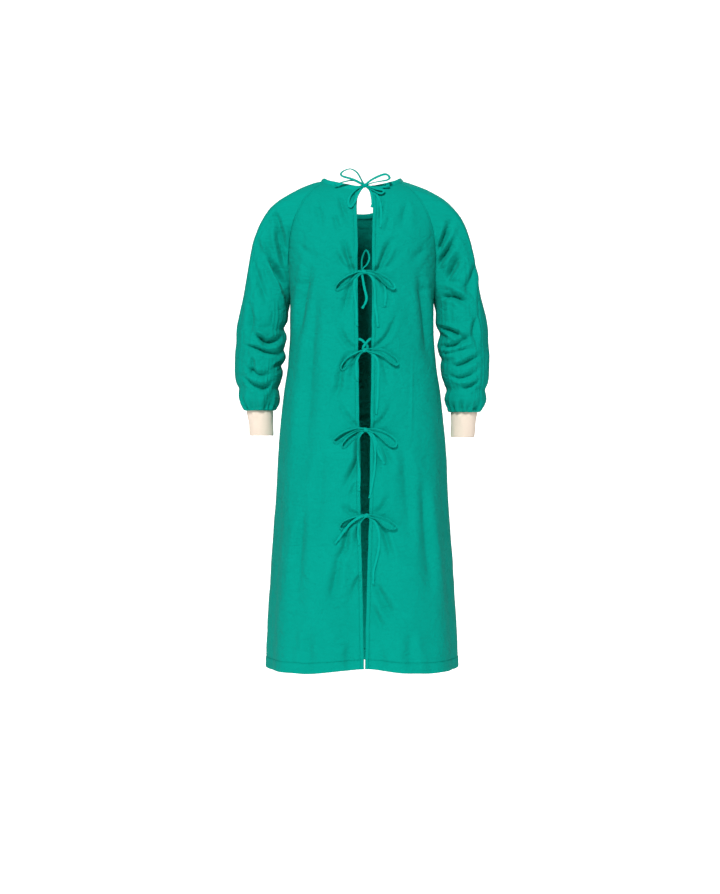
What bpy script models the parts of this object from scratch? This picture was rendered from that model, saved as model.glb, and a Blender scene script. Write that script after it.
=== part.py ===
"""A surgical gown, open down the back and tied with five bows, hollow as when it is worn.

Metres, +Z up. The ties face -Y, the gown's front faces +Y, and +X is the wearer's right.
The origin is midway between the shoulder points of the neck opening.
Each cloth piece is a closed wall: an outer grid of points on the gown's form, and an
inner one moved in by the cloth's thickness. Pieces that are sewn together share the
same seam points, each set back from them by half the seam gap.
"""

import math
from collections import namedtuple

import bpy
import numpy as np
from mathutils import Matrix, Vector

# Driving dimensions
CLOTH = 0.0015
SEAM_GAP = 0.0003
HEM_Z = -1.180
HEM_DEPTH = 0.027
HEM_FOLD = 0.0010
CORNER_LIFT = 0.010
CORNER_WIDTH = 0.055
CORNER_START_Z = -1.040
UNDERARM_Z = -0.300
BACK_NECK_Z = -0.036
FRONT_NECK_Z = -0.088
SHOULDER_NECK_Z = -0.011
BACK_NECK_ROUND = 0.4
BINDING_HEIGHT = 0.011
BINDING_THICKNESS = 0.0026
BINDING_END_HEIGHT = 0.0062
SHOULDER_STAND = 0.9
SHOULDER_ARCH_OUT = 0.006
SHOULDER_ARCH_UP = 0.004
CUFF_THICKNESS = 0.0022
CUFF_LENGTH = 0.060
CUFF_GAP = 0.0005
SLIT_CENTRE = 0.0065
TIE_WIDTH = 0.0060
TIE_THICKNESS = 0.0013
KNOT_HALF_WIDTH = 0.0070
KNOT_HALF_DEPTH = 0.0042
KNOT_HALF_HEIGHT = 0.0052
KNOT_LIFT = 0.0020
KNOT_SHOULDER_SHARE = 0.7
BINDING_END_LIFT = 0.0010
GATHERS = 12

# How finely the cloth is divided
BACK_COLUMNS = 11
FRONT_COLUMNS = 22
NECK_PIECE_SEGMENTS = 4
SHOULDER_RINGS = 8
CUFF_COLUMNS = 24

# The gown's horizontal sections: half its width, and how far its back and front stand
# from the plane of the arms. A squareness of 2 is an ellipse, and more is boxier.
Section = namedtuple("Section", "z half_width back front squareness")
SECTIONS = (
    Section(0.000, 0.098, 0.030, 0.026, 2.2),
    Section(-0.011, 0.118, 0.045, 0.036, 2.3),
    Section(-0.025, 0.154, 0.068, 0.044, 2.4),
    Section(-0.041, 0.185, 0.083, 0.051, 2.4),
    Section(-0.060, 0.200, 0.095, 0.058, 2.4),
    Section(-0.090, 0.203, 0.110, 0.074, 2.4),
    Section(-0.130, 0.196, 0.124, 0.096, 2.4),
    Section(-0.180, 0.187, 0.134, 0.114, 2.4),
    Section(-0.240, 0.181, 0.140, 0.125, 2.4),
    Section(-0.300, 0.173, 0.141, 0.129, 2.4),
    Section(-0.360, 0.173, 0.140, 0.131, 2.4),
    Section(-0.440, 0.178, 0.138, 0.133, 2.4),
    Section(-0.535, 0.190, 0.139, 0.136, 2.4),
    Section(-0.632, 0.199, 0.145, 0.140, 2.4),
    Section(-0.777, 0.206, 0.158, 0.150, 2.4),
    Section(-0.922, 0.215, 0.170, 0.162, 2.4),
    Section(-1.116, 0.227, 0.185, 0.176, 2.4),
    Section(-1.180, 0.229, 0.190, 0.180, 2.4),
)

# The raglan seam, from the neck to the underarm, on either side of each sleeve.
SeamPoint = namedtuple("SeamPoint", "z x")
RAGLAN = (
    SeamPoint(-0.011, 0.0940),
    SeamPoint(-0.036, 0.1230),
    SeamPoint(-0.066, 0.1450),
    SeamPoint(-0.100, 0.1600),
    SeamPoint(-0.140, 0.1710),
    SeamPoint(-0.180, 0.1755),
    SeamPoint(-0.218, 0.1770),
    SeamPoint(-0.252, 0.1755),
    SeamPoint(-0.278, 0.1740),
    SeamPoint(-0.293, 0.1732),
    SeamPoint(-0.300, 0.1730),
)

# Heights of the rows below the underarm; the last two are the turned hem.
SKIRT_ROWS = (-0.345, -0.400, -0.460, -0.520, -0.580, -0.640, -0.705, -0.775, -0.845,
              -0.915, -0.985, -1.055, -1.110, HEM_Z + HEM_DEPTH + 0.001,
              HEM_Z + HEM_DEPTH - 0.001, HEM_Z)

ROW_HEIGHTS = [row.z for row in RAGLAN] + list(SKIRT_ROWS)

# Half the width of the slit down the back.
SlitPoint = namedtuple("SlitPoint", "z half_gap")
SLIT = (
    SlitPoint(-0.030, 0.0150),
    SlitPoint(-0.080, 0.0188),
    SlitPoint(-0.145, 0.0172),
    SlitPoint(-0.290, 0.0166),
    SlitPoint(-0.360, 0.0162),
    SlitPoint(-0.480, 0.0148),
    SlitPoint(-0.660, 0.0120),
    SlitPoint(-0.810, 0.0100),
    SlitPoint(-0.880, 0.0085),
    SlitPoint(-1.000, 0.0055),
    SlitPoint(-1.180, 0.0016),
)

# The largest folds of the body: their place round it in degrees (0 is +X, -90 the
# centre of the back) at the top and the hem, the height where each starts, their half
# width and their height at the hem. A negative height is a trough.
Fold = namedtuple("Fold", "top_angle hem_angle start width height")
FOLDS = (
    Fold(-90, -90, -0.830, 0.045, -0.026),
    Fold(-64, -66, -0.560, 0.045, 0.005),
    Fold(-38, -41, -0.420, 0.040, 0.006),
    Fold(-118, -116, -0.560, 0.045, 0.005),
    Fold(-143, -140, -0.420, 0.040, 0.006),
    Fold(-20, -18, -0.500, 0.036, -0.006),
    Fold(-161, -162, -0.500, 0.036, -0.006),
    Fold(8, 10, -0.450, 0.042, 0.007),
    Fold(172, 170, -0.450, 0.042, 0.007),
    Fold(38, 36, -0.430, 0.045, -0.008),
    Fold(141, 143, -0.430, 0.045, -0.008),
    Fold(62, 60, -0.480, 0.050, 0.009),
    Fold(119, 121, -0.480, 0.050, 0.009),
    Fold(90, 90, -0.520, 0.050, -0.007),
)

# Rings of a sleeve from just below the underarm to the cuff.
SleeveRing = namedtuple("SleeveRing", "z x y half_width half_depth")
SLEEVE = (
    SleeveRing(-0.332, 0.2385, 0.000, 0.0595, 0.0660),
    SleeveRing(-0.362, 0.2430, 0.001, 0.0605, 0.0640),
    SleeveRing(-0.392, 0.2455, 0.002, 0.0590, 0.0655),
    SleeveRing(-0.420, 0.2470, 0.004, 0.0605, 0.0625),
    SleeveRing(-0.448, 0.2490, 0.007, 0.0590, 0.0630),
    SleeveRing(-0.472, 0.2500, 0.009, 0.0575, 0.0590),
    SleeveRing(-0.492, 0.2515, 0.012, 0.0525, 0.0550),
    SleeveRing(-0.507, 0.2515, 0.014, 0.0468, 0.0500),
    SleeveRing(-0.517, 0.2505, 0.015, 0.0500, 0.0520),
    SleeveRing(-0.530, 0.2500, 0.016, 0.0520, 0.0535),
    SleeveRing(-0.542, 0.2490, 0.017, 0.0495, 0.0500),
    SleeveRing(-0.552, 0.2485, 0.018, 0.0440, 0.0445),
    SleeveRing(-0.5595, 0.2480, 0.018, 0.0385, 0.0390),
    SleeveRing(-0.5605, 0.2480, 0.018, 0.0325, 0.0325),
)
FOREARM_Z = -0.502
FIRST_GATHERED_RING = 10
GATHER_DEPTHS = (0.0012, 0.0030, 0.0030, 0.0)

# The outer line of a sleeve leaves the neck towards the first place, and reaches the
# first sleeve ring from the second: the shoulder's round.
SHOULDER_OUT = Vector((0.252, 0.0, -0.045))
SHOULDER_DOWN = Vector((0.256, 0.0, -0.105))
LEAVING_SHARE = 0.41
ARRIVING_SHARE = 0.60
LEAVING_DEPTH = 0.9
TOP_STRANDS = 2.6
UNDERARM_POINTS = 2.0
UNDERARM_CLEARANCE = 0.0006

# Ways in which the sleeve's cloth leaves the raglan seam, from the neck (0) to the
# underarm (1): outward, away from the plane of the arms, and down.
Leaving = namedtuple("Leaving", "share out away down")
LEAVINGS = (
    Leaving(0.00, 0.93, 0.00, 0.36),
    Leaving(0.25, 0.88, -0.12, 0.46),
    Leaving(0.50, 0.86, -0.06, 0.50),
    Leaving(0.75, 0.78, 0.18, 0.60),
    Leaving(0.92, 0.48, 0.20, 0.85),
    Leaving(1.00, 0.22, 0.00, 0.97),
)

# Rings of a cuff, as shares of its length from the sleeve.
CuffRing = namedtuple("CuffRing", "share x y half_width half_depth")
CUFF = (
    CuffRing(0.00, 0.2480, 0.0180, 0.0325, 0.0310),
    CuffRing(0.20, 0.2470, 0.0190, 0.0310, 0.0300),
    CuffRing(0.55, 0.2455, 0.0210, 0.0292, 0.0290),
    CuffRing(0.88, 0.2445, 0.0230, 0.0290, 0.0292),
    CuffRing(1.00, 0.2440, 0.0235, 0.0284, 0.0288),
)

# The bows. Each tie is a tape that comes from one edge of the back, or from an end of
# the neck binding, and leaves its side of the knot as loops and tails. A route's points
# are millimetres to the right of the knot, above it, and off the gown's form.
Bow = namedtuple("Bow", "x z")
Tie = namedtuple("Tie", "bow edge knot_side lead loops tails")
BOWS = {
    1: Bow(0.0064, -0.0270),
    2: Bow(0.0043, -0.2358),
    3: Bow(0.0062, -0.4204),
    4: Bow(0.0081, -0.6081),
    5: Bow(0.0090, -0.8097),
}
TIES = {
    "tie_1_left": Tie(
        bow=1, edge=None, knot_side=-1, lead=None,
        loops=(
            ((-3, 2, 3), (-9, 13, 5), (-18, 28, 6), (-33, 36, 7), (-49, 31, 8), (-57, 23, 8),
             (-51, 18, 7), (-28, 12, 6), (-12, 5, 5), (-4, 0, 3)),
            ((-3, -2, 3), (-12, -6, 4.5), (-21, -11, 5), (-34, -25, 5), (-39, -42, 5),
             (-34, -55, 5), (-24, -42, 5), (-17, -24, 5), (-9, -10, 4.5), (-3, -3, 3)),
        ),
        tails=(
            ((-4, 0, 3), (-16, 7, 3.2), (-30, 12, 2.6), (-52, 8, 2.4), (-72, 1, 2.6)),
        ),
    ),
    "tie_1_right": Tie(
        bow=1, edge=None, knot_side=1, lead=None,
        loops=(
            ((3, 2, 3), (10, 7, 5), (22, 14, 6), (39, 21, 7), (51, 23, 7), (59, 15, 7),
             (53, 10, 6), (37, 8, 5), (18, 4, 5), (4, 0, 3)),
            ((3, -2, 3), (14, -5, 5), (25, -10, 6), (35, -13, 7), (43, -14, 7), (45, -19, 7),
             (37, -23, 6), (26, -17, 5), (13, -9, 4.5), (3, -3, 3)),
        ),
        tails=(
            ((4, -1, 3), (14, -4, 2.4), (26, -6, 2.0), (44, -3, 2.2), (59, 0, 2.8)),
            ((3, -3, 2), (10, -7, 1.6), (15, -18, 1.6), (18, -40, 2.0), (16, -55, 2.4)),
            ((4, -2, 2), (19, -12, 1.6), (29, -25, 1.6), (37, -47, 1.7), (39, -80, 1.8),
             (36, -104, 1.8)),
        ),
    ),
    "tie_2_left": Tie(
        bow=2, edge=-1, knot_side=-1, lead=((-5, 1, 0.5),),
        loops=(
            ((-3, 0, 3), (-12, 0, 4.5), (-22, -3, 5), (-40, -11, 6), (-57, -24, 6),
             (-66, -38, 6), (-61, -43, 5), (-46, -36, 5), (-32, -23, 5), (-18, -9, 4.5),
             (-4, -2, 3)),
            ((-5, 2, 3), (-5, 12, 4), (-5, 26, 5), (-1, 40, 6), (5, 50, 7), (11, 41, 6),
             (12, 28, 5), (6, 15, 4), (-2, 8, 4), (-4, 1, 3)),
        ),
        tails=(
            ((-4, -2, 2), (-12, -7, 1.8), (-20, -17, 1.7), (-23, -31, 1.7), (-21, -57, 1.8),
             (-18, -85, 1.8), (-16, -128, 1.8)),
            ((-4, -2, 0), (-4, -10, 0), (1, -38, 0), (6, -65, 0.5), (-4, -87, 0)),
        ),
    ),
    "tie_2_right": Tie(
        bow=2, edge=1, knot_side=1, lead=((5, 1, 0.5),),
        loops=(
            ((3, 1, 3), (14, 2, 4.5), (28, -2, 5), (48, -11, 6), (64, -24, 6), (71, -37, 6),
             (66, -41, 5), (54, -33, 5), (44, -23, 5), (29, -9, 4.5), (4, -1, 3)),
        ),
        tails=(
            ((4, -2, 2), (14, -7, 1.8), (22, -20, 1.7), (25, -40, 1.7), (26, -76, 1.8),
             (30, -102, 1.8), (33, -130, 1.8)),
            ((4, -1, 2), (20, -6, 1.8), (37, -16, 1.8), (47, -31, 1.7), (51, -50, 1.7),
             (50, -69, 1.8), (48, -83, 1.8)),
        ),
    ),
    "tie_3_left": Tie(
        bow=3, edge=-1, knot_side=1, lead=((-9, 25, -0.7), (2, 15, -0.6), (7, 8, 0), (5, 2, 1)),
        loops=(
            ((3, 1, 3), (14, 3, 4.5), (33, 3, 5), (51, -4, 6), (68, -16, 6), (77, -29, 6),
             (73, -36, 5), (58, -28, 5), (44, -15, 5), (27, -7, 4.5), (4, -1, 3)),
        ),
        tails=(
            ((4, -1, 2), (12, -5, 1.8), (22, -12, 1.7), (30, -26, 1.7), (32, -48, 1.8),
             (31, -75, 1.8), (30, -115, 1.8), (27, -152, 1.8)),
        ),
    ),
    "tie_3_right": Tie(
        bow=3, edge=1, knot_side=-1, lead=((12, 26, 0.4), (2, 15, 1.6), (-4, 7, 1.5), (-4, 2, 1)),
        loops=(
            ((-3, 0, 3), (-11, -2, 4.5), (-22, -7, 5), (-39, -17, 6), (-53, -31, 6),
             (-57, -42, 6), (-50, -46, 5), (-41, -40, 5), (-28, -27, 5), (-14, -11, 4.5),
             (-4, -2, 3)),
        ),
        tails=(
            ((-4, -2, 2), (-12, -9, 1.8), (-18, -22, 1.7), (-20, -40, 1.8), (-18, -73, 1.8)),
        ),
    ),
    "tie_4_left": Tie(
        bow=4, edge=-1, knot_side=-1, lead=((-5, 1, 0.5),),
        loops=(
            ((-3, 2, 3), (-13, 4, 5.5), (-29, 2, 7), (-50, -5, 8), (-66, -16, 8),
             (-75, -26, 7), (-69, -30, 6), (-56, -23, 6), (-38, -10, 6), (-18, -1, 5.5),
             (-4, 1, 3)),
            ((-3, -1, 3), (-12, -2, 4.5), (-23, -6, 5), (-41, -17, 5), (-53, -31, 5),
             (-55, -41, 5), (-48, -41, 5), (-40, -33, 5), (-28, -21, 5), (-14, -8, 4.5),
             (-4, -2, 3)),
        ),
        tails=(
            ((-3, -2, 2), (-10, -8, 1.8), (-17, -20, 1.7), (-19, -41, 1.7), (-17, -65, 1.8),
             (-15, -95, 1.8), (-15, -145, 1.8)),
        ),
    ),
    "tie_4_right": Tie(
        bow=4, edge=1, knot_side=1, lead=((5, 1, 0.5),),
        loops=(
            ((3, 1, 3), (13, 2, 4.5), (28, 0, 5), (46, -7, 6), (63, -18, 6), (71, -31, 6),
             (68, -40, 5), (59, -40, 5), (49, -33, 5), (37, -20, 5), (23, -8, 4.5),
             (4, -1, 3)),
        ),
        tails=(
            ((4, -1, 2), (11, -5, 3.4), (19, -15, 3.4), (25, -31, 3.4), (28, -49, 2.4),
             (34, -63, 1.8), (44, -81, 1.8)),
            ((3, -3, 1.5), (10, -9, 1.6), (18, -24, 1.6), (22, -46, 1.6), (21, -92, 1.7),
             (17, -118, 1.7), (12, -145, 1.4), (9, -161, 1.1)),
        ),
    ),
    "tie_5_left": Tie(
        bow=5, edge=-1, knot_side=-1, lead=((-5, 1, 0.5),),
        loops=(
            ((-3, 1, 3), (-13, 0, 4.5), (-30, -4, 5), (-48, -11, 6), (-59, -21, 6),
             (-61, -29, 6), (-54, -31, 5), (-44, -25, 5), (-31, -15, 5), (-17, -6, 4.5),
             (-4, -1, 3)),
        ),
        tails=(
            ((-4, 0, 4), (-13, -3, 8.5), (-24, -9, 9.6), (-38, -20, 9.6), (-54, -39, 7),
             (-65, -55, 4), (-74, -66, 2.2)),
            ((-3, -3, 2), (-9, -8, 1.8), (-16, -20, 1.7), (-18, -42, 1.8), (-16, -69, 1.8)),
        ),
    ),
    "tie_5_right": Tie(
        bow=5, edge=1, knot_side=1, lead=((5, 1, 0.5),),
        loops=(
            ((3, 1, 3), (13, 1, 4.5), (28, -1, 5), (48, -9, 6), (64, -20, 6), (69, -28, 6),
             (62, -32, 5), (48, -29, 5), (35, -18, 5), (24, -8, 4.5), (4, -1, 3)),
        ),
        tails=(
            ((4, -1, 2), (12, -7, 1.8), (21, -15, 1.7), (28, -31, 1.7), (32, -51, 1.8),
             (31, -78, 2.2), (24, -114, 2.8), (20, -130, 3.0), (20, -161, 3.2)),
        ),
    ),
}
LOOP_TURN = 75
TAIL_TURN = 8
TAPE_STEP = {"lead": 0.005, "loop": 0.0105, "tail": 0.019}
KNOT_SIDES = 6
LEAD_GAP = 0.0005

# Lines along the binding, from its top: their share of its height, and how much
# thinner it is there on each face.
BindingPoint = namedtuple("BindingPoint", "share inset")
BINDING_SECTION = (
    BindingPoint(1.00, 0.0006),
    BindingPoint(0.55, 0.0000),
    BindingPoint(0.00, 0.0002),
)

# The two sides: which way is outward, and how much lower the wrist is.
Side = namedtuple("Side", "name sign wrist_drop")
SIDES = (Side("left", -1, 0.0), Side("right", 1, 0.004))


def smooth(at, xs, ys):
    """A monotone cubic through the points, which never overshoots them."""
    xs, ys = np.asarray(xs, float), np.asarray(ys, float)
    if xs[0] > xs[-1]:
        xs, ys = xs[::-1], ys[::-1]
    step, rise = np.diff(xs), np.diff(ys)
    slope = rise / step
    tangent = np.zeros(len(xs))
    tangent[0], tangent[-1] = slope[0], slope[-1]
    for i in range(1, len(xs) - 1):
        if slope[i - 1] * slope[i] > 0:
            before, after = 2 * step[i] + step[i - 1], step[i] + 2 * step[i - 1]
            tangent[i] = (before + after) / (before / slope[i - 1] + after / slope[i])
    at = min(max(at, xs[0]), xs[-1])
    i = min(int(np.searchsorted(xs, at, side="right")) - 1, len(step) - 1)
    t, h = (at - xs[i]) / step[i], step[i]
    return float(
        (2 * t**3 - 3 * t**2 + 1) * ys[i]
        + (t**3 - 2 * t**2 + t) * h * tangent[i]
        + (3 * t**2 - 2 * t**3) * ys[i + 1]
        + (t**3 - t**2) * h * tangent[i + 1]
    )


def of_table(rows, column, at, key="z"):
    """One column of a table, read at a height or share between its rows."""
    return smooth(at, [getattr(r, key) for r in rows], [getattr(r, column) for r in rows])


def bell(distance, width):
    return math.exp(-((distance / width) ** 2))


def fold_height(angle, z, radius):
    """How far the folds push the form outward at one place."""
    height = 0.0
    for fold in FOLDS:
        if z >= fold.start:
            continue
        grown = (fold.start - z) / (fold.start - HEM_Z)
        centre = math.radians(fold.top_angle + (fold.hem_angle - fold.top_angle) * grown)
        away = math.remainder(angle - centre, 2 * math.pi) * radius
        height += fold.height * grown * (2 - grown) * bell(away, fold.width)
    return height


def form(angle, z):
    """The gown's outer face at an angle round it and a height."""
    power = 2 / of_table(SECTIONS, "squareness", z)
    half_width = of_table(SECTIONS, "half_width", z)
    cosine, sine = math.cos(angle), math.sin(angle)
    depth = of_table(SECTIONS, "back" if sine < 0 else "front", z)
    x = half_width * math.copysign(abs(cosine) ** power, cosine)
    y = depth * math.copysign(abs(sine) ** power, sine)
    radius = math.hypot(x, y)
    scale = 1 + fold_height(angle, z, radius) / radius
    return Vector((x * scale, y * scale, z))


def form_normal(angle, z):
    """The outward normal of the form."""
    turn, rise = 0.01, 0.002
    around = form(angle + turn, z) - form(angle - turn, z)
    upward = form(angle, z + rise) - form(angle, z - rise)
    return around.cross(upward).normalized()


def angle_at(x, z, front):
    """The form's angle where it is x from the middle, on its front or its back."""
    half_width = of_table(SECTIONS, "half_width", z)
    share = min(1.0, abs(x) / half_width) ** (of_table(SECTIONS, "squareness", z) / 2)
    angle = math.acos(math.copysign(share, x))
    return angle if front else -angle


def slit_edge(z, sign):
    """Where a back panel's free edge lies."""
    return SLIT_CENTRE + sign * of_table(SLIT, "half_gap", z)


def seam_points(side, front):
    """The raglan seam's points and the form's normals there, from neck to underarm."""
    points, normals = [], []
    for row in RAGLAN:
        angle = angle_at(side.sign * row.x, row.z, front)
        points.append(form(angle, row.z))
        normals.append(form_normal(angle, row.z))
    return points, normals


def tangents(points):
    """Unit directions along a line of points."""
    last = len(points) - 1
    return [
        (points[min(i + 1, last)] - points[max(i - 1, 0)]).normalized()
        for i in range(last + 1)
    ]


def panel_rows(side, front):
    """One half of the body from its middle out to its seams, as rows of (point, normal).

    The rows above the underarm end on the raglan seam, the others on the side seam. The
    neck's row is spaced by its distance from the middle, and the lower ones by angle.
    """
    neck_z = FRONT_NECK_Z if front else BACK_NECK_Z
    columns = FRONT_COLUMNS // 2 if front else BACK_COLUMNS
    rows = []
    for seam_z in ROW_HEIGHTS:
        share = min(1.0, (seam_z - SHOULDER_NECK_Z) / (UNDERARM_Z - SHOULDER_NECK_Z))
        middle_z = neck_z + share * (UNDERARM_Z - neck_z) if share < 1 else seam_z
        if share < 1:
            outer_x = side.sign * of_table(RAGLAN, "x", seam_z)
            outer = angle_at(outer_x, seam_z, front)
        else:
            outer_x = side.sign * of_table(SECTIONS, "half_width", seam_z)
            outer = 0.0 if side.sign > 0 else math.copysign(math.pi, 1 if front else -1)
        inner_x = 0.0 if front else slit_edge(middle_z, side.sign)
        inner = angle_at(inner_x, middle_z, front)
        row = []
        for column in range(columns + 1):
            across = column / columns
            outward, rise = math.sin(across * math.pi / 2), 1 - math.cos(across * math.pi / 2)
            if not front:
                rise = BACK_NECK_ROUND * rise + (1 - BACK_NECK_ROUND) * outward
            z = middle_z + (seam_z - middle_z) * rise
            by_distance = angle_at(inner_x + (outer_x - inner_x) * outward, z, front)
            by_angle = inner + (outer - inner) * across
            angle = by_distance + (by_angle - by_distance) * share
            z += corner_lift(angle, z)
            row.append((form(angle, z), form_normal(angle, z)))
        rows.append(row)
    return rows


def corner_lift(angle, z):
    """How far the hem rises towards the corners of the back opening."""
    if z > CORNER_START_Z:
        return 0.0
    grown = (CORNER_START_Z - z) / (CORNER_START_Z - HEM_Z)
    away = (angle + math.pi / 2) * of_table(SECTIONS, "back", z)
    return CORNER_LIFT * grown**2 * bell(away, CORNER_WIDTH)


def set_back_from_seams(rows):
    """Moves each row's last point off the seam by half the seam gap."""
    line = [row[-1][0] for row in rows]
    along = tangents(line)
    for i, row in enumerate(rows):
        point, normal = row[-1]
        inward = along[i].cross(normal)
        if inward.dot(row[-2][0] - point) < 0:
            inward = -inward
        row[-1] = (point + inward.normalized() * SEAM_GAP / 2, normal)
    return rows


def material(name, colour, roughness):
    made = bpy.data.materials.new(name)
    made.use_nodes = True
    surface = made.node_tree.nodes["Principled BSDF"]
    surface.inputs["Base Color"].default_value = (*colour, 1)
    surface.inputs["Roughness"].default_value = roughness
    surface.inputs["Metallic"].default_value = 0.0
    return made


def add_object(name, points, faces, finish):
    mesh = bpy.data.meshes.new(name)
    mesh.from_pydata([tuple(p) for p in points], [], faces)
    mesh.update()
    made = bpy.data.objects.new(name, mesh)
    made.data.materials.append(finish)
    bpy.context.scene.collection.objects.link(made)
    mesh.shade_smooth()
    mesh.set_sharp_from_angle(angle=math.radians(40))
    return made


def strip(first, second, closed):
    """Faces between two rows of point numbers; the second may have twice as many."""
    faces = []
    count = len(first) if closed else len(first) - 1
    if len(first) == len(second):
        for i in range(count):
            j = (i + 1) % len(first)
            faces.append((first[i], second[i], second[j], first[j]))
        return faces
    for i in range(count):
        j = (i + 1) % len(first)
        low, mid, high = second[2 * i], second[2 * i + 1], second[(2 * i + 2) % len(second)]
        faces += [(first[i], low, mid), (first[i], mid, first[j]), (first[j], mid, high)]
    return faces


def add_wall(name, outer, inner, closed, finish):
    """A closed wall between an outer and an inner set of rows of points.

    The rows' outer faces look outward when (along a row) x (down the rows) does.
    """
    points, outer_ids, inner_ids = [], [], []
    for rows, ids in ((outer, outer_ids), (inner, inner_ids)):
        for row in rows:
            ids.append(list(range(len(points), len(points) + len(row))))
            points += row
    faces = []
    for i in range(len(outer) - 1):
        faces += strip(outer_ids[i], outer_ids[i + 1], closed)
        faces += [f[::-1] for f in strip(inner_ids[i], inner_ids[i + 1], closed)]
    faces += strip(inner_ids[0], outer_ids[0], closed)
    faces += strip(outer_ids[-1], inner_ids[-1], closed)
    if not closed:
        for end, flip in ((0, False), (-1, True)):
            edge_out = [row[end] for row in outer_ids]
            edge_in = [row[end] for row in inner_ids]
            side = strip(edge_out, edge_in, False)
            faces += [f[::-1] for f in side] if flip else side
    made = add_object(name, points, faces, finish)
    if signed_volume(made.data) < 0:
        made.data.flip_normals()
    return made


def signed_volume(mesh):
    mesh.calc_loop_triangles()
    total = 0.0
    for triangle in mesh.loop_triangles:
        a, b, c = (mesh.vertices[i].co for i in triangle.vertices)
        total += a.dot(b.cross(c))
    return total


def add_panel(name, rows, finish):
    """A wall through a panel's rows, thicker where the hem is turned up."""
    outer, inner = [], []
    for height, row in zip(ROW_HEIGHTS, rows):
        thickness = CLOTH + (HEM_FOLD if height < HEM_Z + HEM_DEPTH else 0.0)
        outer.append([point for point, _ in row])
        inner.append([point - normal * thickness for point, normal in row])
    add_wall(name, outer, inner, False, finish)


def body_panels(finish):
    """Adds the two back panels and the front. Gives the rows that they are made of."""
    halves = {}
    for side in SIDES:
        for front in (False, True):
            halves[side.name, front] = set_back_from_seams(panel_rows(side, front))
        add_panel(f"back_{side.name}", halves[side.name, False], finish)
    front_rows = [
        left[::-1] + right[1:]
        for left, right in zip(halves["left", True], halves["right", True])
    ]
    add_panel("front_panel", front_rows, finish)
    return halves


def armhole_side(side, front):
    """One side of the armhole from neck to underarm, as (point, way, normal): the way is
    the one in which the sleeve's cloth leaves it."""
    part = []
    first, last = RAGLAN[0].z, RAGLAN[-1].z
    points, normals = seam_points(side, front)
    for row, point, normal in zip(RAGLAN, points, normals):
        share = (row.z - first) / (last - first)
        out, away, down = (
            of_table(LEAVINGS, column, share, "share") for column in ("out", "away", "down")
        )
        way = Vector((side.sign * out, away if front else -away, -down)).normalized()
        into_body = min(0.0, way.dot(normal))
        part.append((point, (way - normal * into_body).normalized(), normal))
    return part


def armhole_loop(side):
    """The sleeve's upper edge from the underarm up the back, over the shoulder and down
    the front."""
    back, front = armhole_side(side, False), armhole_side(side, True)
    over = []
    for i in range(1, NECK_PIECE_SEGMENTS):
        share = i / NECK_PIECE_SEGMENTS
        point, way, normal = (a.lerp(b, share) for a, b in zip(back[0], front[0]))
        arch = math.sin(math.pi * share)
        point += Vector((side.sign * SHOULDER_ARCH_OUT, 0, SHOULDER_ARCH_UP)) * arch
        over.append((point, way.normalized(), normal.normalized()))
    return back[::-1] + over + front[:-1]


def sleeve_ring(row, side, count, gather_depth=0.0):
    """One level ring of a sleeve, starting at its inner side and going by the back."""
    drop = side.wrist_drop * min(1.0, (SLEEVE[0].z - row.z) / (SLEEVE[0].z - FOREARM_Z))
    points = []
    for i in range(count):
        angle = 2 * math.pi * i / count
        waves = gather_depth * math.cos(GATHERS * angle)
        points.append(
            Vector((
                side.sign * (row.x - (row.half_width + waves) * math.cos(angle)),
                row.y - (row.half_depth + waves) * math.sin(angle),
                row.z - drop,
            ))
        )
    return points


def level_with(ring, i, count):
    """The point of a ring that lies in line with point i of a ring of count points."""
    return ring[i * len(ring) // count]


def ring_normals(rings, sign):
    """Outward normals of closed rings, from their neighbours."""
    normals = []
    for j, ring in enumerate(rings):
        above, below = rings[max(j - 1, 0)], rings[min(j + 1, len(rings) - 1)]
        row = []
        for i in range(len(ring)):
            along = ring[(i + 1) % len(ring)] - ring[i - 1]
            down = level_with(below, i, len(ring)) - level_with(above, i, len(ring))
            row.append(along.cross(down).normalized() * sign)
        normals.append(row)
    return normals


def shoulder_rings(side, loop, first_ring):
    """Rings from the armhole to the first level ring, along a curve from each point."""
    rings = [[] for _ in range(SHOULDER_RINGS + 1)]
    top_point = len(loop) // 2
    for i, (start, way, _) in enumerate(loop):
        end = first_ring[i]
        chord = (end - start).length
        leave = start + way * LEAVING_SHARE * chord
        arrive = end + Vector((0, 0, ARRIVING_SHARE * chord))
        over = bell(i - top_point, TOP_STRANDS)
        out = Vector((side.sign * SHOULDER_OUT.x, start.y * LEAVING_DEPTH, SHOULDER_OUT.z))
        down = Vector((side.sign * SHOULDER_DOWN.x, (start.y + end.y) / 2, SHOULDER_DOWN.z))
        leave = leave.lerp(out, over)
        arrive = arrive.lerp(down, over)
        for j in range(SHOULDER_RINGS + 1):
            t = j / (SHOULDER_RINGS + 1)
            rings[j].append(
                start * (1 - t) ** 3
                + leave * 3 * t * (1 - t) ** 2
                + arrive * 3 * t**2 * (1 - t)
                + end * t**3
            )
    return rings


def set_edge_back(loop, rings, normals):
    """Moves the sleeve's first ring off the seam by half the seam gap. At the underarm,
    where the seams of the body meet, it stands a little further out."""
    edge, edge_normals = [], []
    for i, (point, way, normal) in enumerate(loop):
        along = (loop[(i + 1) % len(loop)][0] - loop[i - 1][0]).normalized()
        across = (way - along * way.dot(along)).normalized()
        facing = along.cross(across).normalized()
        facing = facing if facing.dot(normals[0][i]) > 0 else -facing
        clear = bell(min(i, len(loop) - i), UNDERARM_POINTS) * UNDERARM_CLEARANCE
        edge.append(point + across * SEAM_GAP / 2 + normal * clear)
        edge_normals.append(facing)
    rings[0], normals[0] = edge, edge_normals


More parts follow.
